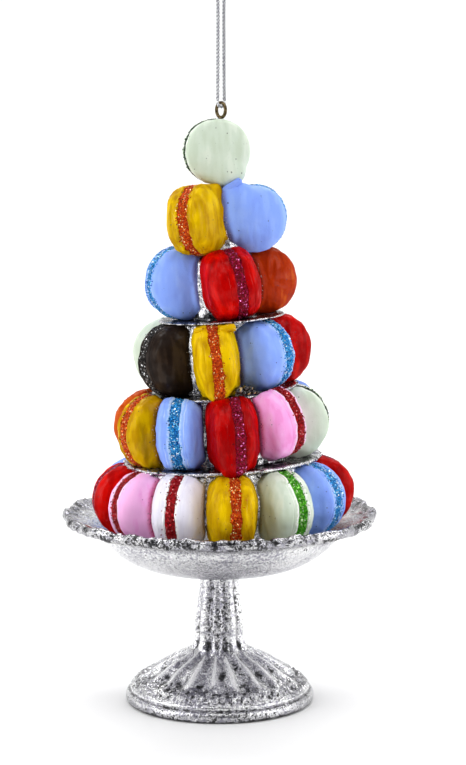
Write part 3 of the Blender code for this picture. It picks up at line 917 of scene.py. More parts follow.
def gap_between(tier, first, second):
    """Go in along the gap until the two macarons are only a strip of silver apart."""
    turn = (second.azimuth - first.azimuth) % 360.0
    looks = [first.azimuth + turn * (i + 0.5) / GAP_LOOKS for i in range(GAP_LOOKS)]
    seat = seat_of(tier)

    def widest_at(reach, height):
        spots = [(seat @ (outward(a) * (reach * MM) + up(height * MM)), a) for a in looks]
        return max((min(free_space(m, spot) for m in (first, second)), a) for spot, a in spots)

    depths, azimuths = [], []
    for height in GAP_HEIGHTS:
        reach, look = tier.ring + tier.radius, looks[GAP_LOOKS // 2]
        while reach > INNERMOST * tier.ring:
            widest, look = widest_at(reach, height)
            if widest < strip_after(first):
                break
            reach -= GAP_STEP
        depths.append(reach)
        azimuths.append(look)
    centre = len(GAP_HEIGHTS) // 2
    least = LEAST_DEPTH * depths[centre]
    return Gap(azimuths[centre] % 360.0, tuple(max(d, least) for d in depths))


def gaps_of(tier, ring):
    return sorted(gap_between(tier, a, b) for a, b in zip(ring, ring[1:] + ring[:1]))


def fill_radius(gaps, azimuth, height):
    """Radius in metres of the silver behind a tier, going from gap to gap."""
    height = min(max(height, GAP_HEIGHTS[0]), GAP_HEIGHTS[-1] - 0.001)
    low = max(i for i, h in enumerate(GAP_HEIGHTS[:-1]) if h <= height)
    share = (height - GAP_HEIGHTS[low]) / (GAP_HEIGHTS[low + 1] - GAP_HEIGHTS[low])
    after = next((i for i, g in enumerate(gaps) if g.azimuth > azimuth), 0)
    first, second = gaps[after - 1], gaps[after]
    depths = [g.depths[low] * (1 - share) + g.depths[low + 1] * share for g in (first, second)]
    turn = (second.azimuth - first.azimuth) % 360.0 or 360.0
    along = ((azimuth - first.azimuth) % 360.0) / turn
    return (depths[0] + (depths[1] - depths[0]) * along) * MM


# ---------------- silver core and plates

CORE_SEGMENTS = 360
CORE_SPACING = 0.5
BOWL_FLOOR = 40.45
CORE_FOOT = 12.0                # radius at which the core stands on the bowl
CORE_TOP = 122.4
SHOULDER_START, SHOULDER = 104.5, 4.0   # height and length over which the fourth tier's ends
NECK_START, NECK_END = 116.5, 120.0     # heights between which the core closes to its neck
NECK_RADIUS = 1.7
BELOW_PLATE = 0.1
FLAT_STEPS = 12                 # rings over the bowl's floor, from the foot to the gaps
PLATE_STEPS = 14                # and over a plate
PLATE_ROUNDING = 0.9            # width of a plate's rounded edge
KNOB_INSET = 0.25
# what the core stands on and what it ends under, in the place of plates; the first has no edge
FLOOR = Plate(99.0, BOWL_FLOOR, BOWL_FLOOR, 0.0, TIERS[0].shift, 0, 0.0, False)
TOP = Plate(0.0, CORE_TOP + BELOW_PLATE, CORE_TOP, 0.0, 0.0, 0, 0.0, False)


def casting_tree():
    """Lumps and creases all over a piece of the silver core."""
    w, given = new_tree("rough_casting", Lump_size=1.3 * MM, Relief=0.55 * MM, Edge_radius=0.0,
                        Plate_top=0.0, Silver=None)
    position = w.position()
    x, y, z = w.parts(position)
    radius = w.from_axis(x, y)
    lumps = w.noise(position, 0.55 / given["Lump size"], 3.0, 0.6)

    def by_edge(low, high, *ends):
        """A ramp over the radius between millimetres inside the plate's edge."""
        edge = given["Edge radius"]
        return w.ramp(radius, edge - low * MM, edge - high * MM, *ends)

    relief = (lumps - 0.5) * given["Relief"] * 2.0 * by_edge(2.5, 1.5, 1.0, 0.45)
    tarnish = w.ramp(w.noise(position, 560.0, 3.0, 0.6), 0.41, 0.52, 0.0, 1.6) \
        * by_edge(7.0, 5.0) * by_edge(0.9, 0.3, 1.0, 0.2) \
        * w.ramp_mm(abs(z - given["Plate top"]), 1.2, 1.8, 1.0, 0.0)
    patina_and_highlight = w.most(w.ramp(lumps, 0.52, 0.36, 0.0, 0.6), tarnish)
    shaped = w.keep(w.swollen(given["Geometry"], relief), "patina_and_highlight", patina_and_highlight)
    return w.close(shaped, given["Silver"])


def knob_tree():
    """A knob of uneven size on every point of a ring."""
    w, given = new_tree("plate_edge_knobs", Knob_size=0.6 * MM, Seed=1, Silver=None)
    seed = given["Seed"]
    knob = w.smooth(w.add("GeometryNodeMeshUVSphere", {"Segments": 8, "Rings": 6, "Radius": 1.0}))
    size = w.random(0.45, 1.1, seed) * given["Knob size"]
    shape = w.random((0.8, 0.8, 0.5), (1.3, 1.2, 0.9), seed + 7)
    ring = w.moved(given["Geometry"], w.random((-0.35 * MM,) * 3, (0.35 * MM,) * 3, seed + 3))
    placed = w.instances(ring, knob, w.random_turn((0, 0, 0), (3.1, 3.1, 3.1), seed),
                         w.scaled(shape, size))
    placed = w.keep(placed, "patina_and_highlight", w.random(0.0, 0.8, seed + 11), "INSTANCE")
    return w.close(placed, given["Silver"])


def blackened_bead():
    """Dark antique paint with a little gold and white on the high spots."""
    w = new_material("blackened_bead", Coat_Weight=0.4, Coat_Roughness=0.1)
    place = w.place()
    wear = w.noise(place, 1500.0, 2.0, 0.6)
    gilt = w.noise(place, 900.0, 1.0)
    tone = w.colours(wear, (0.40, (14, 10, 10)), (0.60, (34, 25, 22)), (0.66, (120, 100, 70)),
                     (0.69, (248, 246, 240)))
    return w.surface(Base_Color=w.coats(tone, (w.ramp(gilt, 0.64, 0.68), (176, 144, 88))),
                     Metallic=w.ramp(wear, 0.60, 0.66, 0.0, 0.5),
                     Roughness=w.ramp(gilt, 0.3, 0.7, 0.4, 0.2), Normal=w.bump(wear, 0.12 * MM))


def bead_tree():
    """A dented bead on every point, as large as the point's own size."""
    w, given = new_tree("bead_cluster", Dent=0.16, Paint=None)
    bead = w.add("GeometryNodeMeshIcoSphere", {"Radius": 1.0, "Subdivisions": 3})
    dent = w.noise(w.position(), 1.7, 2.0) - 0.5
    bead = w.smooth(w.swollen(bead, dent * given["Dent"] * 2.0))
    turn = w.random_turn((0, 0, 0), (6.2, 6.2, 6.2), 4)
    return w.close(w.instances(given["Geometry"], bead, turn, w.own("size")), given["Paint"])


# azimuth, distance from the axis, height over the plate and radius; degrees and millimetres
BEADS = ((12.6, 17.9, 1.55, 0.98), (17.8, 17.7, 1.90, 0.70), (21.8, 17.4, 1.60, 0.62),
         (16.2, 18.1, 0.80, 0.55), (19.7, 18.0, 0.80, 0.58), (24.2, 17.7, 0.75, 0.54),
         (27.2, 17.6, 0.45, 0.46), (30.0, 17.5, 0.30, 0.40))


def bead_cluster(plate):
    """The cluster of dark beads that stands on a plate's edge."""
    cloud = smooth_mesh("beads", [outward(azimuth) * (away * MM) + up((plate.top + height) * MM)
                                  for azimuth, away, height, size in BEADS])
    store(cloud, "size", [bead[3] * MM for bead in BEADS])
    return grow(new_piece("beads", cloud), bead_tree(), Paint=blackened_bead())


def edge_knobs(plate, tree, material):
    """Lumps round a plate's edge."""
    level = (plate.under + plate.top) / 2 * MM
    ring = smooth_mesh("knob_ring", [
        outward(360.0 * i / plate.knobs) * ((plate.radius - KNOB_INSET) * MM) + up(level)
        for i in range(plate.knobs)])
    return grow(new_piece("knobs", ring), tree, Knob_size=plate.knob_size * MM,
                Seed=plate.knobs, Silver=material)


def joined(name, pieces):
    """Several pieces as one."""
    with bpy.context.temp_override(active_object=pieces[0], object=pieces[0],
                                   selected_objects=pieces, selected_editable_objects=pieces):
        bpy.ops.object.join()
    pieces[0].name = name
    return pieces[0]


def divided(route):
    """Points along straight lines through a route, at most a spacing apart."""
    run = []
    for a, b in zip(route, route[1:]):
        steps = max(1, math.ceil(math.dist(a, b) / CORE_SPACING))
        run += [tuple(p + (q - p) * i / steps for p, q in zip(a, b)) for i in range(steps)]
    return run + [route[-1]]


def column(low, high):
    """Rings that follow the gaps between the macarons, closed at the top."""
    steps = round((high - low) / CORE_SPACING)
    rings = [(0.0, low + (high - low) * i / steps, 1.0) for i in range(steps + 1)]
    return rings + [(0.0, high, share) for share in (0.75, 0.5, 0.25)] + [(0.0, high)]


def plate_profile(plate):
    outer, top = plate.radius, plate.top
    flat = outer - PLATE_ROUNDING
    disc = divided([(0.0, plate.under), (flat, plate.under),
                    (outer - 0.25, plate.under + 0.12), (outer, (plate.under + top) / 2),
                    (outer - 0.2, top - 0.08), (flat, top)])
    return disc + [(flat, top, i / PLATE_STEPS) for i in range(1, PLATE_STEPS)]


def tier_fill(number, gaps):
    height = TIERS[number].height
    return lambda azimuth, z: fill_radius(gaps[number], azimuth, z / MM - height)


def top_fill(gaps):
    """The silver of the fourth and fifth tiers, drawn in under the macaron on top."""
    lower, upper = tier_fill(3, gaps), tier_fill(4, gaps)

    def fill(azimuth, z):
        fade = 1.0 - 0.45 * clamped((z / MM - SHOULDER_START) / SHOULDER)
        neck = max(lower(azimuth, z) * fade, upper(azimuth, z))
        closing = clamped((z / MM - NECK_START) / (NECK_END - NECK_START))
        return neck + (NECK_RADIUS * MM - neck) * closing
    return fill


def tilt_up(mesh, plate, high, tilt_above):
    """Tilt a piece like its plate, and more and more like the next one up to a height."""
    for vertex in mesh.vertices:
        x, y, z = vertex.co
        share = clamped((z / MM - plate.top) / (high - plate.top))
        tilt = plate.tilt + (tilt_above - plate.tilt) * share
        vertex.co = (x + plate.shift * MM, y, z + x * math.tan(math.radians(tilt)))


def make_core(tiers, material):
    """The bottom core, and each plate with the core above it."""
    casting, knobs = casting_tree(), knob_tree()
    gaps = [gaps_of(tier, ring) for tier, ring in zip(TIERS[:5], tiers)]
    base = divided([(0.0, BOWL_FLOOR), (CORE_FOOT, BOWL_FLOOR)]) \
        + [(CORE_FOOT, BOWL_FLOOR, i / FLAT_STEPS) for i in range(1, FLAT_STEPS)]
    levels = (FLOOR, *PLATES, TOP)
    for number, (plate, above) in enumerate(zip(levels, levels[1:])):
        node = "tier_plate_%d" % (number + 1) if number else "tower_core"
        high = above.under - BELOW_PLATE
        profile = (plate_profile(plate) if number else base) + column(plate.top, high)
        fill = top_fill(gaps) if above is TOP else tier_fill(number, gaps)
        mesh = turned_mesh(node, [(r * MM, z * MM, *share) for r, z, *share in profile],
                           CORE_SEGMENTS, fill)
        parts = [grow(new_piece("silver_" + node, mesh), casting, Silver=material,
                      Edge_radius=plate.radius * MM, Plate_top=plate.top * MM)]
        if plate.knobs:
            parts.append(edge_knobs(plate, knobs, material))
        if plate.beads:
            parts.append(bead_cluster(plate))
        for part in parts:
            tilt_up(part.data, plate, high if number else above.under, above.tilt)
        settle(joined("silver_" + node, parts) if len(parts) > 1 else parts[0], "silver", node)


tiers = all_macarons()
make_core(tiers, silver)


# ---------------- painted shells and glitter

class Shell(NamedTuple):
    """Paint of a shell, in screen colours."""
    body: tuple
    deep: tuple                 # in the brush streaks
    pale: tuple                 # on the ridges between them
    seam: tuple                 # painted shade where two macarons meet
    rim: tuple                  # beside the filling
    streaks: float = 0.35
    margin: tuple = None        # thin line where the shell meets the filling
    folds: float = 0.05         # height of the brush folds, in millimetres
    glint: float = 0.0          # of the painted highlight, a light line round the shell
    edging: float = 1.0         # strength of the thin line


SHELLS = {
    "lemon": Shell((206, 163, 0), (174, 126, 0), (236, 197, 6), (160, 104, 6), (200, 155, 0),
                   0.75, None, 0.30),
    "mint": Shell((204, 217, 199), (188, 202, 178), (226, 234, 220), (190, 192, 146),
                  (214, 226, 209), 0.45, (249, 251, 245), 0.10, 0.5),
    "sky": Shell((137, 169, 250), (122, 150, 240), (158, 190, 253), (110, 118, 206),
                 (150, 192, 248), 0.4, (196, 218, 250), 0.09, 0.55, 0.45),
    "cherry": Shell((180, 2, 1), (140, 0, 2), (220, 12, 4), (104, 0, 4), (158, 0, 6),
                    0.75, None, 0.16),
    "tangerine": Shell((172, 48, 3), (142, 32, 3), (212, 98, 20), (112, 26, 6),
                       (168, 50, 5), 0.6, None, 0.12),
    "vanilla": Shell((233, 230, 244), (216, 211, 230), (250, 249, 253), (226, 202, 162),
                     (242, 240, 249), 0.4, (251, 251, 253), 0.09),
    "chocolate": Shell((36, 27, 22), (20, 14, 11), (62, 50, 40), (18, 13, 10), (32, 24, 20),
                       0.6, None, 0.10),
    "rose": Shell((247, 166, 226), (234, 134, 200), (253, 202, 241), (222, 104, 162),
                  (250, 188, 234), 0.5, (253, 232, 248), 0.09, 0.4, 0.5),
}

FILLINGS = {                    # from the dark glue to the brightest flakes, whose near-white colour is a painted sparkle
    "orange": ((136, 28, 0), (198, 66, 2), (240, 132, 24), (255, 226, 150)),
    "green": ((16, 78, 2), (66, 158, 20), (150, 226, 96), (242, 255, 220)),
    "forest": ((2, 14, 4), (8, 40, 6), (60, 130, 40), (236, 255, 220)),
    "blue": ((4, 48, 118), (32, 134, 206), (124, 214, 252), (246, 253, 255)),
    "magenta": ((78, 0, 8), (130, 0, 26), (184, 4, 84), (255, 132, 214)),
    "garnet": ((84, 0, 4), (148, 2, 12), (208, 30, 44), (250, 150, 150)),
    "black": ((12, 11, 11), (34, 30, 28), (96, 92, 88), (250, 250, 250)),
}
FILLING_OF = {"lemon": "orange", "mint": "green", "sky": "blue", "cherry": "magenta",
              "tangerine": "orange", "vanilla": "garnet", "chocolate": "black",
              "rose": "garnet"}
OWN_FILLING = {(2, 3): "forest", (3, 5): "forest", (6, 1): "forest"}


def shell_paint(flavour):
    """Brushed paint: uneven, with painted shade where two macarons meet, and specks of the silver.
    """
    shell = SHELLS[flavour]
    w = new_material("shell_" + flavour, Coat_Roughness=0.12, Specular_IOR_Level=0.02)
    disc = w.read("disc", "Vector")
    across = abs(w.read("across"))
    seam, shade = w.read("seam"), w.read("shade")
    x, y, z = w.parts(disc)
    cloud = w.noise(disc, 0.32, 3.0, 0.6)
    brushed = w.noise(w.vector(x * 0.10, y * 0.48, z * 0.48), 1.0, 1.0)
    fine = w.noise(w.vector(x * 0.20, y * 1.5, z * 1.5), 1.0, 2.0)
    away = across + (cloud - 0.5) * 0.9
    pattern = brushed * 0.6 + cloud * 0.28 + fine * 0.12 + shade * 0.12
    layers = [(w.ramp(away, 2.3, 1.2), shell.rim),
              (w.ramp(pattern, 0.50, 0.38) * shell.streaks, shell.deep),
              (w.ramp(pattern, 0.50, 0.62) * shell.streaks, shell.pale),
              # painted shade, darker towards the neighbouring macarons
              (w.ramp(seam + (cloud - 0.5) * 0.5, 0.05, 0.95) * 0.85, shell.seam)]
    if shell.margin:
        ragged = away + (w.noise(disc, 1.5, 2.0) - 0.5) * 1.4
        layers.append((w.ramp(ragged, 1.9, 1.5) * shell.edging, shell.margin))
    if shell.glint:
        # painted highlight: a light line round the shell, near the crease
        line = w.hump(across + (cloud - 0.5) * 0.5, 2.35, 0.28)
        layers.append((line * shell.glint * w.ramp(brushed, 0.42, 0.56), shell.margin))
    to_dot, pick = w.cells(disc, 0.85)
    dot = w.ramp(to_dot, 0.15, 0.09) * w.ramp(pick, 0.78, 0.80)
    speck = w.ramp(w.noise(disc, 2.6, 3.0, 0.65) + seam * 0.13, 0.70, 0.74)
    bare = w.ramp(w.noise(disc, 3.1, 2.0) + seam * 0.10, 0.73, 0.77) * seam
    layers += [(w.most(dot * 0.8, speck * 0.75), (52, 46, 54)), (bare, (232, 232, 236))]
    relief = brushed * 0.8 + fine * (0.5 * shell.streaks) + w.noise(disc, 2.4, 3.0, 0.6) * 0.3
    return w.surface(Base_Color=w.coats(shell.body, *layers),
                     Roughness=w.ramp(brushed, 0.3, 0.7, 0.55, 0.38),
                     Coat_Weight=w.ramp(cloud, 0.40, 0.60, 0.03, 0.16),
                     Normal=w.bump(relief, 0.16 * MM, 0.8))


def glue_paint(name):
    """The glued bed of fine glitter between two shells."""
    dark, middle, light = FILLINGS[name][:3]
    w = new_material("filling_" + name, Roughness=0.45, Specular_IOR_Level=0.2)
    to_grain, pick = w.cells(w.read("disc", "Vector"), 4.6)
    tone = w.colours(pick, (0.0, dark), (0.45, middle), (0.8, middle), (0.95, light))
    return w.surface(Base_Color=tone, Metallic=w.ramp(pick, 0.5, 1.0, 0.1, 0.6),
                     Normal=w.bump(to_grain, 0.2 * MM))


def flake_paint(name):
    """Glitter flakes; each has a tint of its own."""
    dark, middle, light, painted_sparkle = FILLINGS[name]
    w = new_material("glitter_" + name)
    tint = w.read("tint")
    wear = w.noise(w.place(), 2500.0, 1.0)
    # the brightest tints are a painted sparkle
    tone = w.colours(tint + (wear - 0.5) * 0.12, (0.0, dark), (0.35, middle), (0.72, middle),
                     (0.86, light), (0.95, painted_sparkle))
    return w.surface(Base_Color=tone, Metallic=w.ramp(tint, 0.7, 0.95, 0.9, 0.4),
                     Roughness=w.ramp(tint, 0.2, 0.9, 0.42, 0.2))


FLAKE_SIZE = 0.17 * MM
FLAKES_PER_AREA = 9.5e6         # per square metre of filling


def glitter_tree():
    """Six-sided flakes scattered over the filling, at all angles."""
    w, given = new_tree("glued_glitter", Flake_size=FLAKE_SIZE, Flakes_per_area=FLAKES_PER_AREA,
                        Seed=1, Flakes=None)
    size, seed = given["Flake size"], given["Seed"]
    spots = w.node("GeometryNodeDistributePointsOnFaces", {
        "Mesh": given["Geometry"], "Density": w.own("glitter") * given["Flakes per area"],
        "Seed": seed}, distribute_method="RANDOM")
    flake = w.add("GeometryNodeMeshCylinder", {
        "Vertices": 6, "Radius": size, "Depth": size * 0.45}, fill_type="NGON")
    tip = w.random_turn((-0.75, -0.75, 0.0), (0.75, 0.75, 3.0), seed)
    turned = w.add("FunctionNodeRotateRotation", [w.out(spots, "Rotation"), tip],
                   rotation_space="LOCAL")
    placed = w.instances(w.out(spots, "Points"), flake, turned, w.random(0.55, 1.25, seed + 5))
    placed = w.keep(placed, "tint", w.random(0.0, 1.0, seed + 9), "INSTANCE")
    return w.close(placed, given["Flakes"])


DISC_SEGMENTS = 96
FILLING_HALF = 1.15
CREASE = 2.62                   # from the filling's middle to the crease round a shell
DOME_SHARES = (0.1, 0.2, 0.3, 0.4, 0.5, 0.58, 0.66, 0.73, 0.79, 0.84, 0.88, 0.915, 0.94,
               0.96, 0.975, 0.987)
NEAR_CREASE = (0.32, 0.2, 0.1, 0.0, -0.1, -0.2, -0.4, -0.7, -1.0)
NEAR_FILLING = (0.3, 0.14, 0.05, 0.0, -0.08, -0.25, -0.55, -0.85)


def macaron_levels(macaron):
    """Rings of (height, radius) from the upper crown down."""
    radius, band = macaron.radius, macaron.own.band
    levels = []
    for side in (1, -1):
        rings = [(side * crown(macaron, s), s * radius) for s in DOME_SHARES]
        rings = [(z, r) for z, r in rings if side * (z - band) > CREASE + NEAR_CREASE[0] + 0.08]
        for middle, steps in ((CREASE, NEAR_CREASE), (FILLING_HALF, NEAR_FILLING)):
            for step in steps:
                z = band + side * (middle + step)
                rings.append((z, arch(risen(macaron, z)) * radius))
        levels.append(sorted(rings, reverse=True))
    return levels[0] + [(band, radius)] + levels[1]


def macaron_mesh(name, macaron, folds, seed):
    """Two domed shells with a crease round each, and the sunk filling between them."""
    half, radius, band = macaron.half, macaron.radius, macaron.own.band
    levels = macaron_levels(macaron)
    shift = Vector((seed * 3.7, seed * 1.3, seed * 7.1))
    points, across, disc = [], [], []

    def add(turn, z, ring):
        away = abs(z - band)
        flat = Vector((math.cos(turn), math.sin(turn), 0.0))
        sway = noise.noise(flat * 1.3 + shift) * 0.34 + noise.noise(flat * 5.5 + shift) * 0.17
        reach = math.exp(-(away / 2.4) ** 2)
        spread_out = 1.0 + 0.32 * noise.noise(flat * 4.4 - shift) * reach
        dip = 0.09 * math.exp(-((away - CREASE) / 0.15) ** 2)
        dip += 0.22 * math.exp(-((away - FILLING_HALF) / 0.13) ** 2)
        dip += 0.08 if away < FILLING_HALF else 0.0
        spot = flat * (ring - dip) + up(band + (z - band) * spread_out + sway * reach)
        lifted = math.copysign(risen(macaron, z) ** (DOME_POWER - 1) / half, z)
        normal = flat * ((ring / radius) ** (DOME_POWER - 1) / radius) + up(lifted)
        uneven = 0.26 * noise.noise(spot * 0.24 + shift) + 0.10 * noise.noise(spot * 0.6 - shift)
        if away > FILLING_HALF:
            brush = Vector((spot.x * 0.16, spot.y * 0.85, spot.z * 0.85)) + shift
            uneven += folds * noise.noise(brush) + 0.5 * folds * noise.noise(brush * 2.1)
        points.append((spot + normal.normalized() * (uneven - 0.07)) * MM)
        across.append(z - band)
        disc.append(spot + shift)

    add(0.0, half, 0.0)
    for z, ring in levels:
        for step in range(DISC_SEGMENTS):
            add(2 * math.pi * step / DISC_SEGMENTS, z, ring)
    add(0.0, -half, 0.0)
    middles = [(a[0] + b[0]) / 2 - band for a, b in zip(levels, levels[1:])]
    filled = [0] + [int(abs(middle) < FILLING_HALF) for middle in middles] + [0]
    mesh = round_mesh(name, points, DISC_SEGMENTS)
    mesh.polygons.foreach_set("material_index", filled * DISC_SEGMENTS)
    store(mesh, "across", across)
    store(mesh, "disc", disc)
    return mesh


SEAM_REACH = 1.7                # millimetres over which the painted shade darkens the paint towards a neighbour
MELT_FULL = 1.3                 # gaps up to this width are closed
MELT_END = 3.0                  # and wider ones than this stay
PRESSED_INSET = 0.15            # from a plate's edge to where it presses on a macaron
GLITTER_EDGE = 0.12             # from the filling's edge to that of the glitter
SHOWN_SHARE = 0.7               # of the ring's radius: the silver hides what is further in
STRAY_REACH = 2.2               # millimetres from the filling's middle
STRAY_SHARE = 0.012             # of the glitter on the filling


def meet_neighbours(mesh, macaron, neighbours):
    """Swell the shells towards their neighbours, and note how near each point is to them.

    Neighbours are pairs of (macaron, half width of the silver strip between the two). The
    seam value, which sets the painted shade near a neighbour, is 1 where they meet.
    """
    across = (macaron.frame.to_3x3() @ up(1.0)).normalized()
    values = []
    for vertex in mesh.vertices:
        near, strip = min(((free_space(m, vertex.co), s) for m, s in neighbours),
                          default=(MELT_END, 0.0))
        share = clamped((MELT_END - near) / (MELT_END - MELT_FULL))
        swell = 0.5 * max(0.0, near - 2 * strip) * share * share * (3 - 2 * share)
        side = math.copysign(1.0, (macaron.back @ vertex.co).z)
        vertex.co += across * (side * swell * MM)
        values.append(clamped(1.0 - (near - 2 * swell) / SEAM_REACH))
    store(mesh, "seam", values)


def press_under(mesh, plate):
    """The macarons below a plate are pressed flat against it."""
    reach = (plate.radius - PRESSED_INSET) * MM
    height = ((plate.under + plate.top) / 2 - BELOW_PLATE) * MM
    for vertex in mesh.vertices:
        x, y, z = vertex.co
        level = height + (x - plate.shift * MM) * math.tan(math.radians(plate.tilt))
        if z > level and math.hypot(x - plate.shift * MM, y) < reach:
            vertex.co.z = level


# lumps of a shell drawn from one spot to another, with their reach; millimetres: over the edge
# of a plate, and up to the top macaron
PULLED_OUT = {
    (2, 1): (((3.2, -22.4, 59.8), (3.3, -24.0, 57.8), 4.2),),
    (3, 1): (((-0.3, -17.4, 76.6), (-0.3, -18.5, 74.3), 3.6),),
    (5, 1): (((-1.6, -4.2, 119.6), (-0.4, -3.2, 122.3), 2.6),
             ((-1.2, -5.0, 115.2), (-0.8, -5.0, 115.2), 3.0)),
    (5, 2): (((1.0, -4.4, 115.0), (-0.2, -4.6, 115.2), 6.5),
             ((1.6, -4.4, 119.2), (0.9, -4.2, 121.2), 3.0),
             ((3.9, -3.6, 121.2), (3.9, -3.8, 122.4), 3.6)),
    (6, 1): (((2.6, -3.0, 123.0), (3.0, -3.3, 121.9), 5.0),
             ((4.4, -2.5, 124.4), (4.9, -2.9, 123.7), 3.0)),
}
# rounded ridges of paint and resin on a shell, from one spot to another, with their radius;
# squeezed out under the top macaron and under a plate
LIPS = {
    (3, 1): (((-5.2, -15.5, 89.7), (-4.2, -15.8, 89.8), 0.60),
             ((0.8, -15.9, 89.8), (3.1, -15.6, 90.3), 0.95)),
    (5, 2): (((1.5, -4.4, 120.7), (4.5, -4.2, 122.7), 0.95),),
}
LIP_SIDES, LIP_STEPS = 16, 20
LIP_END = 0.8                   # radii that a ridge goes on beyond its two spots


def pull_out(mesh, start, end, reach):
    start, end = Vector(start) * MM, Vector(end) * MM
    for vertex in mesh.vertices:
        share = max(0.0, 1.0 - ((vertex.co - start).length / (reach * MM)) ** 2)
        vertex.co += (end - start) * share ** 1.5


def lip_piece(name, start, end, radius, macaron, material):
    """A blunt, slightly uneven ridge in the paint of its shell."""
    start, end = Vector(start), Vector(end)
    along = (end - start).normalized()
    side = along.cross(up(1.0)).normalized()
    rise = side.cross(along)
    first = start - along * radius * LIP_END
    points = [first]
    for step in range(1, LIP_STEPS):
        share = step / LIP_STEPS
        bulge = (1.0 - abs(2.0 * share - 1.0) ** 6.0) ** 0.5
        middle = first + (end - start + along * radius * (2 * LIP_END)) * share
        for turn in range(LIP_SIDES):
            a = 2 * math.pi * turn / LIP_SIDES
            flat = side * math.cos(a) + rise * math.sin(a)
            uneven = 1.0 + 0.16 * noise.noise(middle * 0.8 + flat * 0.7)
            points.append(middle + flat * (radius * bulge * uneven))
    points.append(end + along * radius * LIP_END)
    mesh = round_mesh(name, [p * MM for p in points], LIP_SIDES)
    store(mesh, "disc", points)
    for label, value in (("across", macaron.half), ("seam", 0.3),
                         ("shade", macaron.own.shade - 0.5)):
        store(mesh, label, [value] * len(points))
    return new_piece(name, mesh, [material])


def spread_glitter(mesh, tier, macaron):
    """Glitter lies on the part of the filling that stands out of the silver, with a few strays."""
    along = outward(macaron.azimuth)
    middle = Vector((tier.shift * MM, 0.0, 0.0))
    reach = FILLING_HALF + GLITTER_EDGE + macaron.own.spill
    values = []
    for vertex, item, spot in zip(mesh.vertices, mesh.attributes["across"].data,
                                  mesh.attributes["disc"].data):
        away = abs(item.value) + 0.5 * noise.noise(spot.vector * 1.1)
        shown = (vertex.co - middle).dot(along) > SHOWN_SHARE * tier.ring * MM
        share = 1.0 if away < reach else (STRAY_SHARE if away < STRAY_REACH else 0.0)
        values.append(share if shown or tier.ring == 0.0 else 0.0)
    store(mesh, "glitter", values)


def make_macaron(macaron, tier, ring, tree, paint_of, glue, flakes):
    number, place = macaron.key
    tag = "%d_%02d" % macaron.key
    seed = number * 20 + place
    mesh = macaron_mesh("macaron_" + tag, macaron, SHELLS[macaron.flavour].folds, seed)
    mesh.transform(macaron.frame)
    before, after = ring[place - 2], ring[place % len(ring)]
    beside = [(before, strip_after(before)), (after, strip_after(macaron))]
    meet_neighbours(mesh, macaron, beside if len(ring) > 1 else [])
    if number <= len(PLATES):
        press_under(mesh, PLATES[number - 1])
    for pull in PULLED_OUT.get(macaron.key, ()):
        pull_out(mesh, *pull)
    spread_glitter(mesh, tier, macaron)
    store(mesh, "shade", [macaron.own.shade] * len(mesh.vertices))
    name = "%s_macaron_%s" % (macaron.flavour, tag)
    body = new_piece(name, mesh, [paint_of, glue])
    glitter = grow(new_piece("glitter_" + tag, mesh), tree, Seed=seed, Flakes=flakes)
    lips = [lip_piece("lip_" + tag, *lip, macaron, paint_of) for lip in LIPS.get(macaron.key, ())]
    settle(joined(name, [body, glitter, *lips]), macaron.flavour,
           "macaron_%s_%s" % (tag, macaron.flavour))


def make_macarons(tiers):
    tree = glitter_tree()
    paints = {name: shell_paint(name) for name in SHELLS}
    glues = {name: glue_paint(name) for name in FILLINGS}
    flakes = {name: flake_paint(name) for name in FILLINGS}
    for tier, ring in zip(TIERS, tiers):
        for macaron in ring:
            filling = OWN_FILLING.get(macaron.key, FILLING_OF[macaron.flavour])
            make_macaron(macaron, tier, ring, tree, paints[macaron.flavour], glues[filling],
                         flakes[filling])


make_macarons(tiers)


# ---------------- floor and light

FLOOR_FRONT = -0.6
FLOOR_BEND = 0.9                # where the floor starts to rise into the backdrop
BEND_RADIUS = 0.7
BEND_STEPS = 24
BACKDROP_TOP = 2.4
BACKDROP_SIDE = 2.5


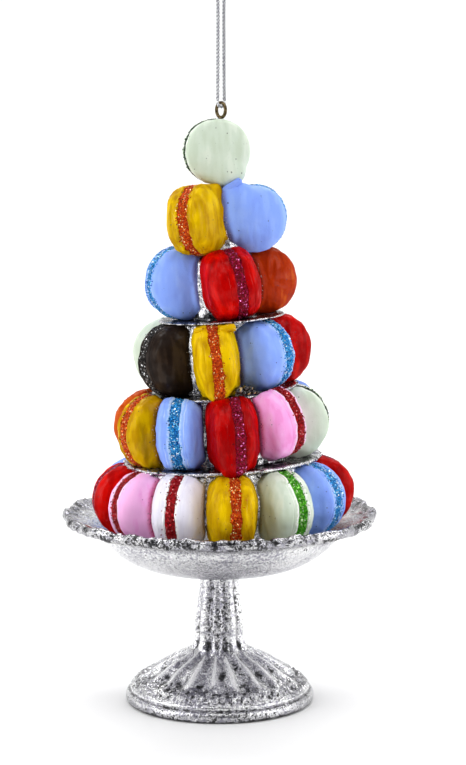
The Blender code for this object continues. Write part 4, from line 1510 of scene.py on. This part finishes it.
def make_floor():
    """A pale floor that curves up into a backdrop."""
    line = [(FLOOR_FRONT, 0.0)]
    for step in range(BEND_STEPS + 1):
        turn = math.pi / 2 * step / BEND_STEPS
        line.append((FLOOR_BEND + BEND_RADIUS * math.sin(turn),
                     BEND_RADIUS * (1.0 - math.cos(turn))))
    line.append((FLOOR_BEND + BEND_RADIUS, BACKDROP_TOP))
    points = [(side, y, z) for y, z in line for side in (-BACKDROP_SIDE, BACKDROP_SIDE)]
    faces = [(2 * i, 2 * i + 1, 2 * i + 3, 2 * i + 2) for i in range(len(line) - 1)]
    w = new_material("pale_floor", Roughness=0.9)
    grain = w.noise(w.place(), 30.0, 2.0)
    pale = w.surface(Base_Color=w.coats((246, 246, 246), (grain, (250, 250, 250))))
    new_piece("floor", smooth_mesh("floor", points, faces), [pale])


def make_light(name, spot, size, power):
    data = bpy.data.lights.new(name, "AREA")
    data.shape = "RECTANGLE"
    data.size, data.size_y = size
    data.energy = power
    light = new_piece(name, data)
    light.location = spot
    light.rotation_euler = (up(0.08) - Vector(spot)).to_track_quat("-Z", "Y").to_euler()


def make_sky():
    """A white studio that is dim on the side the camera stands on."""
    world = bpy.data.worlds.new("studio")
    bpy.context.scene.world = world
    world.use_nodes = True
    world.node_tree.nodes.clear()
    w = Wiring(world.node_tree)
    x, y, z = w.parts(w.add("ShaderNodeTexCoord", out="Generated"))
    lit = w.most(w.ramp(y, -0.70, -0.40), w.ramp(z, 0.40, 0.65))
    tone = w.colours(lit, (0.0, (62, 62, 70)), (1.0, (255, 255, 255)))
    beside = w.ramp(abs(x), 0.84, 0.93) * w.ramp(abs(z), 0.45, 0.3)
    seen = w.add("ShaderNodeLightPath", out="Is Camera Ray")
    background = w.add("ShaderNodeBackground", {
        "Color": w.coats(tone, (seen, (255, 255, 255))),
        "Strength": (beside * 1.7 + 0.54) * (1.0 - seen) + seen})
    w.node("ShaderNodeOutputWorld", {"Surface": background})


make_floor()
make_sky()
make_light("key", (-1.1, -0.75, 0.7), (0.7, 1.2), 8.0)
make_light("fill", (1.15, -0.65, 0.6), (0.6, 1.2), 6.0)
make_light("top", (0.0, -0.5, 1.5), (1.2, 0.6), 5.0)
make_light("backdrop", (0.0, 0.9, 1.6), (3.0, 0.5), 26.0)
bpy.context.scene.view_settings.view_transform = "Standard"
